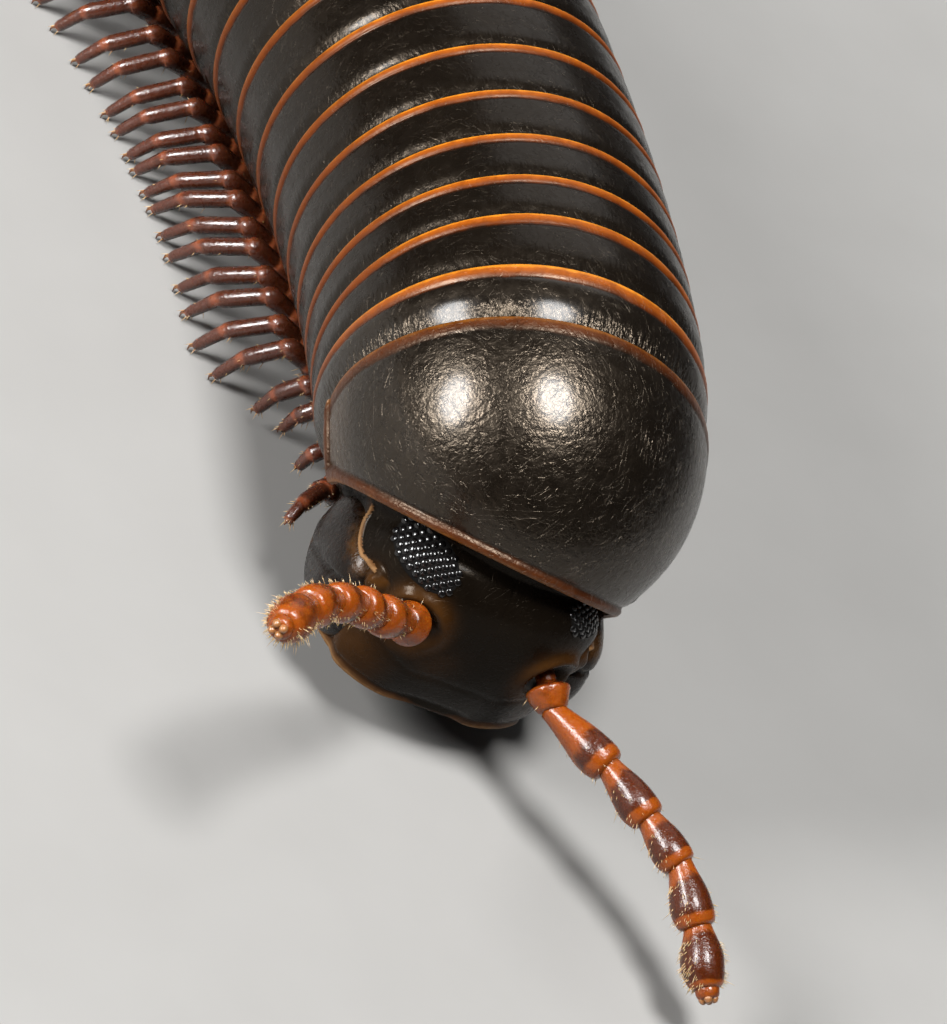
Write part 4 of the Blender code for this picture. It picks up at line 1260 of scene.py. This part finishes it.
outer = on_tail(reach, size * np.sin(turn), size * height)
inner_size = size - 0.12 - 0.2 * smooth((1 - rows[:, None]) / 0.3)
inner = on_tail(reach - 0.02, inner_size * np.sin(turn), inner_size * height)
points, faces = closed_sheet(outer, inner, wrap=True)
to_end = (1.0 - rows[:, None]) * TAIL_LENGTH + 0 * height
place = np.stack([size * np.sin(turn), size * height, reach], axis=-1).reshape(-1, 3)
marks = {
    "hem": np.tile(to_end.ravel() * 1.6, 2),
    "warm": np.zeros(2 * to_end.size),
    "place": np.tile(place, (2, 1)),
}
make_piece("tail_ring", points, faces, RING_FINISH, marks, ["telson"])

# %% Valves and scale
VALVE_SIZE = (2.5, 2.75, 2.66)
VALVE_SQUARENESS = 2.2
SCALE_TOP = -2.14
fall = np.radians(np.linspace(2, 96, 56))[:, None]
round_ = np.linspace(0, 2 * math.pi, 120, endpoint=False)[None, :]
ball = squared_ball(fall, round_, VALVE_SQUARENESS)[..., ::-1]
for side, hand in (("left", 1), ("right", -1)):
    offset = np.maximum(ball[..., 1] * hand, 0.0)
    lips = 2.2 * 0.045 * bell(offset - 0.075, 0.05) * smooth(ball[..., 0] / 0.3)
    back_reach = np.maximum(2.2 + ball[..., 0] * (VALVE_SIZE[0] + lips), TAIL_LENGTH)
    up_reach = np.maximum(-0.15 + ball[..., 2] * (VALVE_SIZE[2] + lips), -2.05)
    grid = on_tail(back_reach, hand * (0.04 + offset * VALVE_SIZE[1]), up_reach)
    edge = np.clip(offset * VALVE_SIZE[1] - 0.02, 0, None)
    values = {"hem": (edge * 1.2)[None], "warm": (0.2 + 0 * edge)[None]}
    make_tubes(f"tail_valve_{side}", grid[None], HEAD_FINISH, values, [f"valve_{side}"])
grid, _ = lump(np.array((TAIL_LENGTH, 0.0, -2.13)), np.array((1.6, 1.7, 0.8)), 40, 96)
grid[..., 2] = np.minimum(grid[..., 2], SCALE_TOP)
grid[..., 0] = np.maximum(grid[..., 0], TAIL_LENGTH)
edge = np.clip(SCALE_TOP - grid[..., 2], 0, None) + 0.1
values = {"hem": edge[None], "warm": (0.4 + 0 * edge)[None]}
grid = on_tail(*np.moveaxis(grid, -1, 0))
make_tubes("tail_scale", grid[None], HEAD_FINISH, values, ["anal_scale"])
print("tail ring, valves and scale made")

# %% [markdown]
# ## Floor and light
# The floor is plain pale paper. Two soft lamps stand either side of the camera, as a twin flash does,
# and give the two bright spots on the shield. A weak wide lamp behind and a pale sky keep the other
# sides readable.

# %% Floor
HALF_FLOOR = 3.0
corners = np.array(((-1, -1, 0), (1, -1, 0), (1, 1, 0), (-1, 1, 0))) * HALF_FLOOR
floor_mesh = bpy.data.meshes.new("floor")
floor_mesh.from_pydata(corners.tolist(), [], [(0, 1, 2, 3)])
floor_mesh.materials.append(FLOOR_FINISH)
floor = new_object("floor", floor_mesh)


# %% Light
def soft_lamp(name, way, distance, size, power):
    """An oval lamp at a distance from the head in a direction, turned to face the head."""
    place = (HEAD_ORIGIN + unit(way) * distance) * MM
    light = bpy.data.lights.new(name, "AREA")
    light.shape = "ELLIPSE"
    light.size, light.size_y = size[0] * MM, size[1] * MM
    light.energy = power
    lamp = new_object(name, light)
    forward = unit(HEAD_ORIGIN * MM - place)
    right = unit(np.cross(forward, CAMERA_UP))
    upward = np.cross(right, forward)
    lamp.matrix_world = Matrix([*np.array([right, upward, -forward, place]).T.tolist(), [0, 0, 0, 1]])


soft_lamp("left_flash", (-0.849, 0.281, 0.448), 300, (84, 130), 1.55)
soft_lamp("right_flash", (-0.202, -0.172, 0.964), 300, (100, 130), 1.70)
soft_lamp("back_fill", (0.6, 0.9, 0.9), 400, (300, 300), 0.17)
world = bpy.data.worlds.new("pale sky")
world.use_nodes = True
sky = world.node_tree.nodes["Background"].inputs
sky["Color"].default_value = (0.92, 0.95, 1.0, 1.0)
sky["Strength"].default_value = 0.04
bpy.context.scene.world = world
bpy.context.scene.view_settings.view_transform = "Standard"
